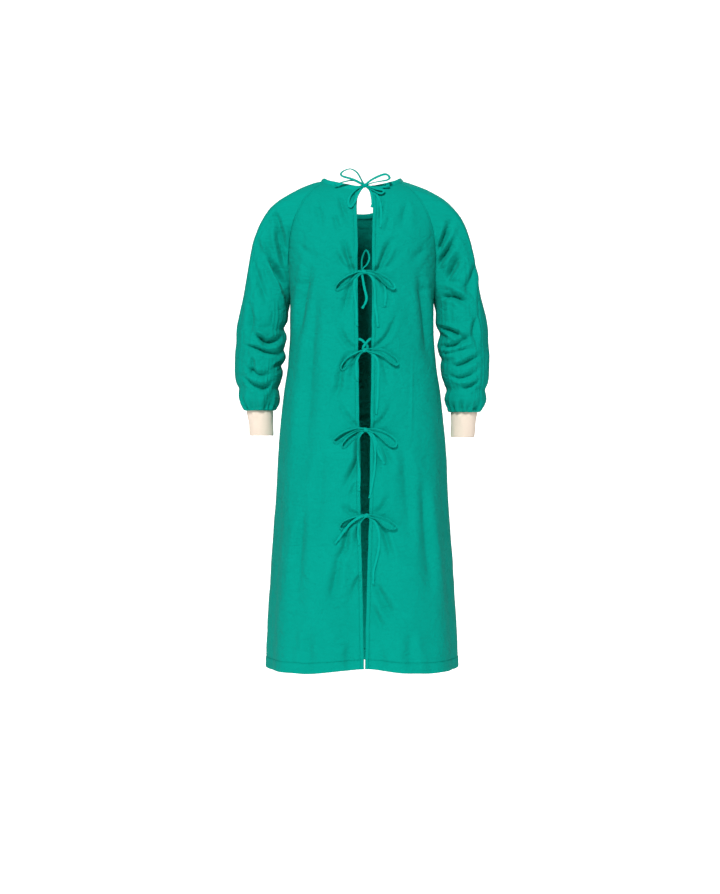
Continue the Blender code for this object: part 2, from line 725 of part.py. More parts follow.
def add_sleeve(side, loop, finish):
    level = []
    for i, row in enumerate(SLEEVE):
        gathered = i - FIRST_GATHERED_RING
        if gathered < 0:
            level.append(sleeve_ring(row, side, len(loop)))
        else:
            level.append(sleeve_ring(row, side, 2 * len(loop), GATHER_DEPTHS[gathered]))
    outer = shoulder_rings(side, loop, level[0]) + level
    normals = ring_normals(outer, -side.sign)
    set_edge_back(loop, outer, normals)
    inner = [
        [point - normal * CLOTH for point, normal in zip(ring, facing)]
        for ring, facing in zip(outer, normals)
    ]
    add_wall(f"sleeve_{side.name}", outer, inner, True, finish)


def add_cuff(side, finish):
    """A knitted tube below its sleeve."""
    top = SLEEVE[-1].z - side.wrist_drop - CUFF_GAP
    rings, inner = [], []
    for row in CUFF:
        for store, inset in ((rings, 0.0), (inner, CUFF_THICKNESS)):
            ring = []
            for i in range(CUFF_COLUMNS):
                angle = 2 * math.pi * i / CUFF_COLUMNS
                ring.append(
                    Vector((
                        side.sign * (row.x - (row.half_width - inset) * math.cos(angle)),
                        row.y - (row.half_depth - inset) * math.sin(angle),
                        top - CUFF_LENGTH * row.share,
                    ))
                )
            store.append(ring)
    add_wall(f"cuff_{side.name}", rings, inner, True, finish)


def binding_stations(halves, loops):
    """Stations round the neck edge from the left tie to the right one: the cloth edge,
    the way up from it, the outward normal and the binding's height there.
    """
    edge = []
    for side in SIDES:
        back, front = halves[side.name, False], halves[side.name, True]
        over = loops[side.name][len(loops[side.name]) // 2 - NECK_PIECE_SEGMENTS // 2 + 1:]
        over = over[: NECK_PIECE_SEGMENTS - 1]
        line = [(p, q - p, n) for (p, n), (q, _) in zip(back[0], back[1])]
        line += [(p, way, n) for p, way, n in over]
        line += [(p, q - p, n) for (p, n), (q, _) in zip(front[0][::-1], front[1][::-1])]
        edge.append(line)
    line = edge[0] + edge[1][::-1][1:]
    along = tangents([p for p, _, _ in line])
    stations = []
    for i, (point, down, normal) in enumerate(line):
        up = -(down - along[i] * down.dot(along[i])).normalized()
        up = (up + Vector((0, 0, SHOULDER_STAND * abs(normal.z)))).normalized()
        facing = along[i].cross(up)
        facing = facing if facing.dot(normal) > 0 else -facing
        stations.append((point + up * SEAM_GAP, up, facing, BINDING_HEIGHT))
    ends = []
    for sign in (-1, 1):
        end = knot_centre(1, 0.0)
        end += Vector(
            (sign * (KNOT_HALF_WIDTH + LEAD_GAP), BINDING_END_LIFT, -BINDING_END_HEIGHT / 2)
        )
        ends.append((end, Vector((0, 0, 1)), Vector((0, -1, 0)), BINDING_END_HEIGHT))
    return [ends[0]] + stations + [ends[1]]


def add_binding(halves, loops, finish):
    """A folded strip that stands on the neck edge, its ends drawn in to the first bow."""
    outer = [[] for _ in BINDING_SECTION]
    inner = [[] for _ in BINDING_SECTION]
    proud = (BINDING_THICKNESS - CLOTH) / 2
    for station, up, facing, height in binding_stations(halves, loops):
        for row, point in enumerate(BINDING_SECTION):
            foot = station + up * height * point.share
            outer[row].append(foot + facing * (proud - point.inset))
            inner[row].append(foot - facing * (CLOTH + proud - point.inset))
    add_wall("neck_binding", outer, inner, False, finish)


def back_face(x, z):
    """The gown's back at one place, and its outward normal. Above the neck edge it goes
    straight up."""
    angle = angle_at(x, min(z, BACK_NECK_Z), False)
    point = form(angle, min(z, BACK_NECK_Z))
    point.z = z
    normal = form_normal(angle, min(z, BACK_NECK_Z))
    return point, normal


def knot_centre(number, lift):
    point, normal = back_face(BOWS[number].x, BOWS[number].z)
    return point + normal * lift


def curve_through(points, step):
    """Evenly spaced points on a smooth curve through the given ones."""
    ends = [points[0] * 2 - points[1]] + list(points) + [points[-1] * 2 - points[-2]]
    fine = []
    for a, b, c, d in zip(ends, ends[1:], ends[2:], ends[3:]):
        for i in range(12):
            t = i / 12
            fine.append(
                (b * 2 + (c - a) * t + (a * 2 - b * 5 + c * 4 - d) * t**2
                 + (b * 3 - a - c * 3 + d) * t**3) / 2
            )
    fine.append(points[-1])
    lengths = [0.0]
    for a, b in zip(fine, fine[1:]):
        lengths.append(lengths[-1] + (b - a).length)
    count = max(2, round(lengths[-1] / step) + 1)
    even, j = [], 0
    for i in range(count):
        want = lengths[-1] * i / (count - 1)
        while j < len(fine) - 2 and lengths[j + 1] < want:
            j += 1
        even.append(fine[j].lerp(fine[j + 1], (want - lengths[j]) / (lengths[j + 1] - lengths[j])))
    return even


def route_points(tie, route):
    """A route's places in the gown's frame, with lift measured off its back."""
    bow = BOWS[tie.bow]
    places = []
    for right, above, lift in route:
        point, normal = back_face(bow.x + right / 1000, bow.z + above / 1000)
        places.append(point + normal * lift / 1000)
    return places


def tape_mesh(path, turn, first_way):
    """A flat tape of four sides along a path, turned about it from lying on the back."""
    along = [first_way] + tangents(path)[1:]
    points, faces = [], []
    for point, way in zip(path, along):
        _, normal = back_face(point.x, point.z)
        across = way.cross(normal).normalized()
        across = Matrix.Rotation(math.radians(turn), 3, way) @ across
        face = way.cross(across).normalized()
        for wide, thick in ((-1, -1), (1, -1), (1, 1), (-1, 1)):
            points.append(point + across * wide * TIE_WIDTH / 2 + face * thick * TIE_THICKNESS / 2)
    for i in range(len(path) - 1):
        for k in range(4):
            a, b = 4 * i + k, 4 * i + (k + 1) % 4
            faces.append((a, b, b + 4, a + 4))
    last = 4 * (len(path) - 1)
    faces += [(3, 2, 1, 0), (last, last + 1, last + 2, last + 3)]
    return points, faces


def add_half_knot(name, tie, finish):
    """The tie's half of the knot: half of a flattened ball."""
    centre = knot_centre(tie.bow, KNOT_LIFT)
    points, faces = [], []
    shares = (0.0, KNOT_SHOULDER_SHARE)
    for share in shares:
        width = SEAM_GAP / 2 + share * (KNOT_HALF_WIDTH - SEAM_GAP / 2)
        size = math.sqrt(1 - share**2)
        for k in range(KNOT_SIDES):
            angle = 2 * math.pi * k / KNOT_SIDES
            points.append(centre + Vector((
                tie.knot_side * width,
                KNOT_HALF_DEPTH * size * math.cos(angle),
                KNOT_HALF_HEIGHT * size * math.sin(angle),
            )))
    for ring in range(len(shares) - 1):
        for k in range(KNOT_SIDES):
            a, b = ring * KNOT_SIDES + k, ring * KNOT_SIDES + (k + 1) % KNOT_SIDES
            faces.append((a, b, b + KNOT_SIDES, a + KNOT_SIDES))
    faces.append(tuple(range(KNOT_SIDES))[::-1])
    tip = len(points)
    points.append(centre + Vector((tie.knot_side * KNOT_HALF_WIDTH, 0, 0)))
    first = (len(shares) - 1) * KNOT_SIDES
    for k in range(KNOT_SIDES):
        faces.append((first + k, first + (k + 1) % KNOT_SIDES, tip))
    made = add_object(name, points, faces, finish)
    if signed_volume(made.data) < 0:
        made.data.flip_normals()
    return made


def add_tie(name, tie, finish):
    """Half a knot joined with its lead, loops and tails."""
    knot = add_half_knot(name, tie, finish)
    tapes = bpy.data.collections.new(f"{name}_tapes")
    bpy.context.scene.collection.children.link(tapes)
    routes = [("loop", route_points(tie, route), LOOP_TURN) for route in tie.loops]
    routes += [("tail", route_points(tie, route), TAIL_TURN) for route in tie.tails]
    if tie.lead:
        first_z = BOWS[tie.bow].z + tie.lead[0][1] / 1000
        edge, normal = back_face(slit_edge(first_z, tie.edge) - tie.edge * LEAD_GAP, first_z)
        start = edge - normal * CLOTH / 2
        routes.append(("lead", [start] + route_points(tie, tie.lead), 0))
    for i, (kind, places, turn) in enumerate(routes):
        path = curve_through(places, TAPE_STEP[kind])
        first_way = (path[1] - path[0]).normalized()
        if kind == "lead":
            first_way = Vector((-tie.edge, 0, 0))
        points, faces = tape_mesh(path, turn, first_way)
        tape = add_object(f"{name}_{kind}_{i}", points, faces, finish)
        if signed_volume(tape.data) < 0:
            tape.data.flip_normals()
        bpy.context.scene.collection.objects.unlink(tape)
        tapes.objects.link(tape)
        tape.hide_render = True
        tape.display_type = "WIRE"
    join = knot.modifiers.new("tapes", "BOOLEAN")
    join.operation = "UNION"
    join.operand_type = "COLLECTION"
    join.collection = tapes
    join.solver = "EXACT"
    return knot


def clear_scene():
    for old in list(bpy.data.objects):
        bpy.data.objects.remove(old)


def main():
    clear_scene()
    green = material("gown_cloth", (0.005, 0.36, 0.28), 0.75)
    cream = material("cuff_knit", (0.80, 0.72, 0.60), 0.9)
    halves = body_panels(green)
    loops = {side.name: armhole_loop(side) for side in SIDES}
    for side in SIDES:
        add_sleeve(side, loops[side.name], green)
        add_cuff(side, cream)
    add_binding(halves, loops, green)
    for name, tie in TIES.items():
        add_tie(name, tie, green)


main()
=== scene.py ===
"""The looks of the surgical gown: its cloth, seams, knitted cuffs and tied tapes.

Metres, +Z up. The ties face -Y, the gown's front faces +Y, and +X is the wearer's right.
The cloth follows the same sections, seams and large folds as the solids, and carries
the creases, puckers and stitching that the solids leave out.
"""

import math
from collections import namedtuple

import bpy
import numpy as np
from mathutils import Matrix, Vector


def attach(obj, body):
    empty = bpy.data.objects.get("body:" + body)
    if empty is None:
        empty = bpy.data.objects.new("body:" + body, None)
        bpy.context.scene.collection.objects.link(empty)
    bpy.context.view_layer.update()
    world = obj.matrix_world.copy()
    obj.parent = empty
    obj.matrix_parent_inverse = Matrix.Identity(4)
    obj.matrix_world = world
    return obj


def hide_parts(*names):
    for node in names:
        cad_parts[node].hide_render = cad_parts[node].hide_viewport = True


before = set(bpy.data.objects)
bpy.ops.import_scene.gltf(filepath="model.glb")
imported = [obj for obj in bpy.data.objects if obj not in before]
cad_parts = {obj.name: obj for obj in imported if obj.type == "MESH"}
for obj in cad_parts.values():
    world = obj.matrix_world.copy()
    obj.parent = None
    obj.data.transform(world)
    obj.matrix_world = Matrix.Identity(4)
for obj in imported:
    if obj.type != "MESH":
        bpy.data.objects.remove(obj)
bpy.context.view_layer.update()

# Driving dimensions, as in the part's source
HEM_Z = -1.180
CORNER_LIFT = 0.010
CORNER_WIDTH = 0.055
CORNER_START_Z = -1.040
UNDERARM_Z = -0.300
BACK_NECK_Z = -0.036
FRONT_NECK_Z = -0.088
SHOULDER_NECK_Z = -0.011
BACK_NECK_ROUND = 0.4
BINDING_HEIGHT = 0.011
BINDING_END_HEIGHT = 0.0062
SHOULDER_STAND = 0.9
SHOULDER_ARCH_OUT = 0.006
SHOULDER_ARCH_UP = 0.004
CUFF_LENGTH = 0.060
SLIT_CENTRE = 0.0065
TIE_WIDTH = 0.0060
KNOT_HALF_WIDTH = 0.0070
KNOT_HALF_DEPTH = 0.0042
KNOT_HALF_HEIGHT = 0.0052

# The cloth as it is sewn
CLOTH = 0.0007
TURNING = 0.0010
STITCH_GROOVE = 0.0014
EDGE_STITCH = 0.0085
HEM_STITCH = 0.0250
SEAM_STITCH = 0.0045
FLANGE = 0.0035
LAP = 0.0035
LAP_DEPTH = 0.0050
FLANGE_GAP = 0.0003
FLANGE_START = 0.0008
RIM_SHARE = 0.45
STITCH_PITCH = 0.0034
STITCH_LENGTH = 0.0025
STITCH_RADIUS = 0.0003
STITCH_RISE = 0.00012
STITCH_SINK = -0.0002
STITCH_RINGS = ((-0.5, 0.0), (-0.36, 1.0), (0.36, 1.0), (0.5, 0.0))

# How finely it is divided
BACK_STEP = 0.0032
FRONT_STEP = 0.0042
SLEEVE_COLUMNS = 168
SHOULDER_ROWS = 62
SLEEVE_STEP = 0.0030


def rows_of(kind, rows):
    """A table's rows, each with its values named."""
    return tuple(kind(*row) for row in rows)


# The gown's horizontal sections: half its width, and how far its back and front stand
# from the plane of the arms. A squareness of 2 is an ellipse, and more is boxier.
Section = namedtuple("Section", "z half_width back front squareness")
SECTIONS = rows_of(Section, (
    (0.000, 0.098, 0.030, 0.026, 2.2),
    (-0.011, 0.118, 0.045, 0.036, 2.3),
    (-0.025, 0.154, 0.068, 0.044, 2.4),
    (-0.041, 0.185, 0.083, 0.051, 2.4),
    (-0.060, 0.200, 0.095, 0.058, 2.4),
    (-0.090, 0.203, 0.110, 0.074, 2.4),
    (-0.130, 0.196, 0.124, 0.096, 2.4),
    (-0.180, 0.187, 0.134, 0.114, 2.4),
    (-0.240, 0.181, 0.140, 0.125, 2.4),
    (-0.300, 0.173, 0.141, 0.129, 2.4),
    (-0.360, 0.173, 0.140, 0.131, 2.4),
    (-0.440, 0.178, 0.138, 0.133, 2.4),
    (-0.535, 0.190, 0.139, 0.136, 2.4),
    (-0.632, 0.199, 0.145, 0.140, 2.4),
    (-0.777, 0.206, 0.158, 0.150, 2.4),
    (-0.922, 0.215, 0.170, 0.162, 2.4),
    (-1.116, 0.227, 0.185, 0.176, 2.4),
    (-1.180, 0.229, 0.190, 0.180, 2.4),
))

# The raglan seam, from the neck to the underarm, on either side of each sleeve.
SeamPoint = namedtuple("SeamPoint", "z x")
RAGLAN = rows_of(SeamPoint, (
    (-0.011, 0.0940),
    (-0.036, 0.1230),
    (-0.066, 0.1450),
    (-0.100, 0.1600),
    (-0.140, 0.1710),
    (-0.180, 0.1755),
    (-0.218, 0.1770),
    (-0.252, 0.1755),
    (-0.278, 0.1740),
    (-0.293, 0.1732),
    (-0.300, 0.1730),
))

# Half the width of the slit down the back.
SlitPoint = namedtuple("SlitPoint", "z half_gap")
SLIT = rows_of(SlitPoint, (
    (-0.030, 0.0150),
    (-0.080, 0.0188),
    (-0.145, 0.0172),
    (-0.290, 0.0166),
    (-0.360, 0.0162),
    (-0.480, 0.0148),
    (-0.660, 0.0120),
    (-0.810, 0.0100),
    (-0.880, 0.0085),
    (-1.000, 0.0055),
    (-1.180, 0.0016),
))

# The largest folds of the body: their place round it in degrees (0 is +X, -90 the
# centre of the back) at the top and the hem, the height where each starts, their half
# width and their height at the hem. A negative height is a trough.
Fold = namedtuple("Fold", "top_angle hem_angle start width height")
FOLDS = rows_of(Fold, (
    (-90, -90, -0.830, 0.045, -0.026),
    (-64, -66, -0.560, 0.045, 0.005),
    (-38, -41, -0.420, 0.040, 0.006),
    (-118, -116, -0.560, 0.045, 0.005),
    (-143, -140, -0.420, 0.040, 0.006),
    (-20, -18, -0.500, 0.036, -0.006),
    (-161, -162, -0.500, 0.036, -0.006),
    (8, 10, -0.450, 0.042, 0.007),
    (172, 170, -0.450, 0.042, 0.007),
    (38, 36, -0.430, 0.045, -0.008),
    (141, 143, -0.430, 0.045, -0.008),
    (62, 60, -0.480, 0.050, 0.009),
    (119, 121, -0.480, 0.050, 0.009),
    (90, 90, -0.520, 0.050, -0.007),
))

# Rings of a sleeve from just below the underarm to the cuff.
SleeveRing = namedtuple("SleeveRing", "z x y half_width half_depth")
SLEEVE = rows_of(SleeveRing, (
    (-0.332, 0.2385, 0.000, 0.0595, 0.0660),
    (-0.362, 0.2430, 0.001, 0.0605, 0.0640),
    (-0.392, 0.2455, 0.002, 0.0590, 0.0655),
    (-0.420, 0.2470, 0.004, 0.0605, 0.0625),
    (-0.448, 0.2490, 0.007, 0.0590, 0.0630),
    (-0.472, 0.2500, 0.009, 0.0575, 0.0590),
    (-0.492, 0.2515, 0.012, 0.0525, 0.0550),
    (-0.507, 0.2515, 0.014, 0.0468, 0.0500),
    (-0.517, 0.2505, 0.015, 0.0500, 0.0520),
    (-0.530, 0.2500, 0.016, 0.0520, 0.0535),
    (-0.542, 0.2490, 0.017, 0.0495, 0.0500),
    (-0.552, 0.2485, 0.018, 0.0440, 0.0445),
    (-0.5595, 0.2480, 0.018, 0.0385, 0.0390),
    (-0.5605, 0.2480, 0.018, 0.0325, 0.0325),
))
FOREARM_Z = -0.502

# The outer line of a sleeve leaves the neck towards the first place, and reaches the
# first sleeve ring from the second: the shoulder's round.
SHOULDER_OUT = (0.240, -0.049)
SHOULDER_DOWN = (0.238, -0.112)
LEAVING_SHARE = 0.41
ARRIVING_SHARE = 0.60
LEAVING_DEPTH = 0.9
TOP_STRANDS = 2.6
STRANDS = 24
SHOULDER_STRAND = 10
SHOULDER_STRANDS = 4

# Ways in which the sleeve's cloth leaves the raglan seam, from the neck (0) to the
# underarm (1): outward, away from the plane of the arms, and down.
Leaving = namedtuple("Leaving", "share out away down")
LEAVINGS = rows_of(Leaving, (
    (0.00, 0.93, 0.00, 0.36),
    (0.25, 0.88, -0.12, 0.46),
    (0.50, 0.86, -0.06, 0.50),
    (0.75, 0.78, 0.18, 0.60),
    (0.92, 0.48, 0.20, 0.85),
    (1.00, 0.22, 0.00, 0.97),
))

# Rings of a cuff, as shares of its length from the sleeve.
CuffRing = namedtuple("CuffRing", "share x y half_width half_depth")
CUFF = rows_of(CuffRing, (
    (0.00, 0.2480, 0.0180, 0.0325, 0.0310),
    (0.20, 0.2470, 0.0190, 0.0310, 0.0300),
    (0.55, 0.2455, 0.0210, 0.0292, 0.0290),
    (0.88, 0.2445, 0.0230, 0.0290, 0.0292),
    (1.00, 0.2440, 0.0235, 0.0284, 0.0288),
))

# The two sides: which way is outward, and how much lower the wrist is.
Side = namedtuple("Side", "name sign wrist_drop")
SIDES = (Side("left", -1, 0.0), Side("right", 1, 0.004))


class Curve:
    """A monotone cubic through a table's points, which never overshoots them."""

    def __init__(self, xs, ys):
        order = np.argsort(xs)
        self.xs = np.asarray(xs, float)[order]
        self.ys = np.asarray(ys, float)[order]
        step, rise = np.diff(self.xs), np.diff(self.ys)
        slope = rise / step
        self.tangents = np.zeros(len(self.xs))
        self.tangents[0], self.tangents[-1] = slope[0], slope[-1]
        for i in range(1, len(self.xs) - 1):
            if slope[i - 1] * slope[i] > 0:
                before, after = 2 * step[i] + step[i - 1], step[i] + 2 * step[i - 1]
                self.tangents[i] = (before + after) / (before / slope[i - 1] + after / slope[i])

    def __call__(self, at):
        at = np.clip(at, self.xs[0], self.xs[-1])
        i = np.clip(np.searchsorted(self.xs, at, side="right") - 1, 0, len(self.xs) - 2)
        h = self.xs[i + 1] - self.xs[i]
        t = (at - self.xs[i]) / h
        return (
            (2 * t**3 - 3 * t**2 + 1) * self.ys[i]
            + (t**3 - 2 * t**2 + t) * h * self.tangents[i]
            + (3 * t**2 - 2 * t**3) * self.ys[i + 1]
            + (t**3 - t**2) * h * self.tangents[i + 1]
        )


def column_curve(rows, column, key="z"):
    return Curve([getattr(row, key) for row in rows], [getattr(row, column) for row in rows])


HALF_WIDTH = column_curve(SECTIONS, "half_width")
BACK_DEPTH = column_curve(SECTIONS, "back")
FRONT_DEPTH = column_curve(SECTIONS, "front")
SQUARENESS = column_curve(SECTIONS, "squareness")
RAGLAN_X = column_curve(RAGLAN, "x")
RAGLAN_Z = Curve(range(len(RAGLAN)), [row.z for row in RAGLAN])
HALF_GAP = column_curve(SLIT, "half_gap")


def unit(vectors):
    return vectors / np.maximum(np.linalg.norm(vectors, axis=-1, keepdims=True), 1e-12)


def bell(distance, width):
    return np.exp(-((distance / width) ** 2))


def ease(share):
    """Rises smoothly from 0 to 1."""
    share = np.clip(share, 0.0, 1.0)
    return share * share * (3 - 2 * share)


def half_turn(angle):
    """The same angle, between half a turn back and half a turn on."""
    return np.remainder(angle + np.pi, 2 * np.pi) - np.pi


class Noise:
    """Smooth random heights over a plane, between about -1 and 1, the same each run."""

    SIZE = 96

    def __init__(self, seed):
        turns = np.random.default_rng(seed).uniform(0, 2 * np.pi, (self.SIZE, self.SIZE))
        self.across, self.along = np.cos(turns), np.sin(turns)

    def corner(self, i, j, du, dv):
        i, j = i % self.SIZE, j % self.SIZE
        return self.across[i, j] * du + self.along[i, j] * dv

    def __call__(self, u, v):
        u, v = np.broadcast_arrays(u, v)
        i, j = np.floor(u).astype(int), np.floor(v).astype(int)
        du, dv = u - i, v - j
        s, t = ease(du), ease(dv)
        low = self.corner(i, j, du, dv) * (1 - s) + self.corner(i + 1, j, du - 1, dv) * s
        high = self.corner(i, j + 1, du, dv - 1) * (1 - s)
        high = high + self.corner(i + 1, j + 1, du - 1, dv - 1) * s
        return 1.5 * (low * (1 - t) + high * t)


def fold_height(angle, z, radius):
    """How far the large folds push the form outward."""
    height = np.zeros(np.broadcast(angle, z).shape)
    for fold in FOLDS:
        grown = np.clip((fold.start - z) / (fold.start - HEM_Z), 0.0, None)
        centre = np.radians(fold.top_angle + (fold.hem_angle - fold.top_angle) * grown)
        away = half_turn(angle - centre)
        height = height + fold.height * grown * (2 - grown) * bell(away * radius, fold.width)
    return height


def form(angle, z):
    """The gown's outer face at angles round it and heights."""
    angle, z = np.broadcast_arrays(np.asarray(angle, float), np.asarray(z, float))
    power = 2 / SQUARENESS(z)
    cosine, sine = np.cos(angle), np.sin(angle)
    depth = np.where(sine < 0, BACK_DEPTH(z), FRONT_DEPTH(z))
    x = HALF_WIDTH(z) * np.sign(cosine) * np.abs(cosine) ** power
    y = depth * np.sign(sine) * np.abs(sine) ** power
    radius = np.hypot(x, y)
    scale = 1 + fold_height(angle, z, radius) / radius
    return np.stack([x * scale, y * scale, z], axis=-1)


def form_normal(angle, z):
    """The outward normal of the form."""
    turn, rise = 0.01, 0.002
    around = form(angle + turn, z) - form(angle - turn, z)
    upward = form(angle, z + rise) - form(angle, z - rise)
    return unit(np.cross(around, upward))


def angle_at(x, z, front):
    """The form's angle where it is x from the middle, on its front or its back."""
    share = np.minimum(1.0, np.abs(x) / HALF_WIDTH(z)) ** (SQUARENESS(z) / 2)
    angle = np.arccos(np.copysign(share, x))
    return angle if front else -angle


class Girth:
    """Distances round the body from the middle of its back or its front."""

    HEIGHTS, ANGLES = 120, 361

    def __init__(self, front):
        self.heights = np.linspace(HEM_Z - 0.01, SHOULDER_NECK_Z, self.HEIGHTS)
        ends = (0.0, np.pi) if front else (-np.pi, 0.0)
        self.angles = np.linspace(*ends, self.ANGLES)
        points = form(self.angles[None, :], self.heights[:, None])
        steps = np.linalg.norm(np.diff(points, axis=1), axis=-1)
        run = np.concatenate([np.zeros((self.HEIGHTS, 1)), np.cumsum(steps, axis=1)], axis=1)
        self.table = run - run[:, self.ANGLES // 2][:, None]
        if front:
            self.table = -self.table

    def __call__(self, angle, z):
        row = (z - self.heights[0]) / (self.heights[-1] - self.heights[0]) * (self.HEIGHTS - 1)
        turn = (angle - self.angles[0]) / (self.angles[-1] - self.angles[0])
        column = turn * (self.ANGLES - 1)
        i = np.clip(np.floor(row).astype(int), 0, self.HEIGHTS - 2)
        j = np.clip(np.floor(column).astype(int), 0, self.ANGLES - 2)
        s, t = np.clip(row - i, 0, 1), np.clip(column - j, 0, 1)
        low = self.table[i, j] * (1 - t) + self.table[i, j + 1] * t
        high = self.table[i + 1, j] * (1 - t) + self.table[i + 1, j + 1] * t
        return low * (1 - s) + high * s


BACK_GIRTH = Girth(False)
FRONT_GIRTH = Girth(True)

# Creases of the cloth. Each runs through places given in millimetres to the right of the
# gown's middle and above its origin, as seen from behind or, on the front, through it.
# Width and height are in millimetres too, and a negative height is a trough. The peak is
# the share of its length where it is deepest.
Crease = namedtuple("Crease", "points width height peak")
BACK_CREASES = rows_of(Crease, (
    (((-57, -46), (-44, -88), (-30, -129)), 5.5, -1.8, 0.4),
    (((-68, -94), (-60, -120), (-51, -148)), 6, -1.5, 0.5),
    (((-112, -60), (-100, -104), (-92, -150)), 9, -1.8, 0.4),
    (((52, -50), (45, -90), (36, -127)), 5.5, -1.6, 0.4),
    (((66, -98), (59, -126), (50, -150)), 6, -1.3, 0.5),
    (((108, -62), (99, -100), (94, -140)), 9, -1.6, 0.4),
    (((-14, -238), (-23, -229), (-35, -195), (-44, -162), (-59, -150)), 6, -3.6, 0.3),
    (((-14, -234), (-40, -222), (-62, -196), (-80, -160)), 7, -1.8, 0.3),
    (((26, -238), (37, -230), (50, -203), (64, -171), (94, -146)), 6.5, -3.8, 0.3),
    (((26, -234), (52, -226), (76, -208), (98, -182)), 7, -1.6, 0.3),
    (((-15, -243), (-32, -280), (-40, -315), (-50, -345), (-59, -374)), 7, -2.8, 0.3),
    (((26, -242), (42, -256), (55, -270), (66, -296), (71, -316)), 6, -2.6, 0.3),
    (((24, -246), (31, -284), (33, -330)), 5, -1.5, 0.3),
    (((-14, -418), (-33, -404), (-52, -372), (-64, -338)), 6, -2.4, 0.25),
    (((27, -416), (58, -388), (76, -352), (84, -318)), 6, -2.6, 0.25),
    (((-15, -424), (-38, -436), (-50, -468), (-56, -508), (-69, -536), (-75, -556)), 6.5, -2.8, 0.55),
    (((27, -424), (46, -440), (58, -478), (62, -520)), 6.5, -2.0, 0.3),
    (((-12, -426), (-22, -462), (-24, -510)), 5, -1.4, 0.3),
    (((-8, -602), (-26, -588), (-48, -556), (-58, -520)), 6.5, -2.2, 0.25),
    (((22, -602), (44, -588), (64, -560), (78, -524)), 6.5, -2.2, 0.25),
    (((-8, -612), (-10, -649), (-12, -681), (-28, -716), (-41, -742), (-54, -768)), 7, -5.0, 0.35),
    (((-16, -725), (-20, -747), (-30, -776)), 6, -2.4, 0.5),
    (((22, -614), (33, -646), (38, -676), (36, -722)), 5.5, -2.8, 0.5),
    (((24, -610), (44, -640), (59, -673), (72, -703)), 6, -2.4, 0.6),
    (((-6, -806), (-30, -800), (-40, -786), (-42, -770)), 5.5, -2.6, 0.4),
    (((22, -804), (42, -794), (60, -768), (70, -738)), 6, -2.2, 0.3),
    (((-6, -814), (-37, -840), (-38, -862), (-43, -889), (-60, -916), (-67, -942)), 6.5, -3.6, 0.5),
    (((-4, -820), (-12, -850), (-13, -888)), 5, -2.2, 0.4),
    (((22, -814), (40, -832), (52, -849), (65, -894), (70, -935)), 6, -2.8, 0.5),
    (((-4, -940), (-6, -951), (-17, -975), (-26, -1010)), 6, -2.2, 0.4),
    (((-54, -902), (-64, -960), (-78, -1025)), 10, -3.4, 0.5),
    (((28, -956), (52, -1004), (82, -1062)), 9, -3.2, 0.5),
    (((21, -1013), (38, -1048), (56, -1086)), 8, -2.4, 0.5),
    (((-120, -200), (-140, -300), (-154, -414)), 15, -3.4, 0.5),
    (((-101, -205), (-118, -380), (-128, -560), (-139, -750)), 16, -3.0, 0.5),
    (((130, -210), (150, -330), (160, -470)), 15, -3.4, 0.5),
    (((121, -406), (117, -540), (112, -677)), 3.0, 0.6, 0.5),
    (((-132, -760), (-146, -900), (-152, -1060)), 13, -2.6, 0.5),
    (((140, -700), (150, -860), (166, -1040)), 14, -3.0, 0.5),
    (((96, -620), (104, -760), (118, -930)), 15, -2.2, 0.4),
    (((-92, -640), (-100, -760), (-112, -900)), 13, -1.8, 0.4),
    (((-166, -250), (-140, -262), (-112, -256)), 8, -0.8, 0.2),
    (((168, -262), (138, -280), (112, -284)), 8, -0.7, 0.2),
    (((-150, -170), (-126, -190), (-96, -196)), 9, -1.6, 0.3),
    (((152, -176), (124, -200), (100, -214)), 9, -1.6, 0.3),
    (((-30, -1090), (-36, -1130), (-34, -1178)), 9, -1.8, 0.7),
    (((40, -1100), (48, -1140), (52, -1178)), 9, -1.8, 0.7),
    (((-120, -1060), (-124, -1120), (-118, -1178)), 12, -2.2, 0.6),
    (((110, -1070), (112, -1124), (108, -1178)), 12, -2.2, 0.6),
))
FRONT_CREASES = rows_of(Crease, (
    (((-60, -110), (-84, -150), (-120, -176)), 9, -2.4, 0.5),
    (((64, -114), (90, -158), (128, -190)), 9, -2.2, 0.5),
    (((-20, -100), (-32, -160), (-38, -230)), 8, -1.6, 0.4),
    (((26, -100), (34, -150), (44, -214)), 8, -1.5, 0.4),
    (((-164, -250), (-132, -280), (-90, -290)), 9, -2.6, 0.3),
    (((-160, -290), (-124, -340), (-86, -372)), 10, -2.2, 0.3),
    (((166, -262), (130, -296), (84, -300)), 9, -2.6, 0.3),
    (((160, -300), (128, -356), (96, -396)), 10, -2.0, 0.3),
    (((-112, -340), (-118, -520), (-110, -700)), 14, -2.8, 0.5),
    (((-52, -420), (-60, -600), (-54, -800)), 16, -2.6, 0.5),
    (((8, -380), (2, -600), (10, -840)), 15, -2.2, 0.5),
    (((60, -460), (68, -640), (60, -860)), 16, -2.6, 0.5),
    (((118, -360), (122, -560), (114, -740)), 14, -2.8, 0.5),
    (((-132, -720), (-140, -900), (-136, -1120)), 15, -3.0, 0.6),
    (((-74, -860), (-82, -1020), (-80, -1176)), 14, -2.6, 0.7),
    (((38, -900), (32, -1040), (36, -1176)), 14, -2.6, 0.7),
    (((128, -780), (140, -940), (140, -1130)), 15, -3.0, 0.6),
    (((-40, -560), (-4, -582), (38, -570)), 6, -1.2, 0.5),
    (((-90, -300), (-40, -322), (20, -318)), 7, -1.0, 0.5),
))

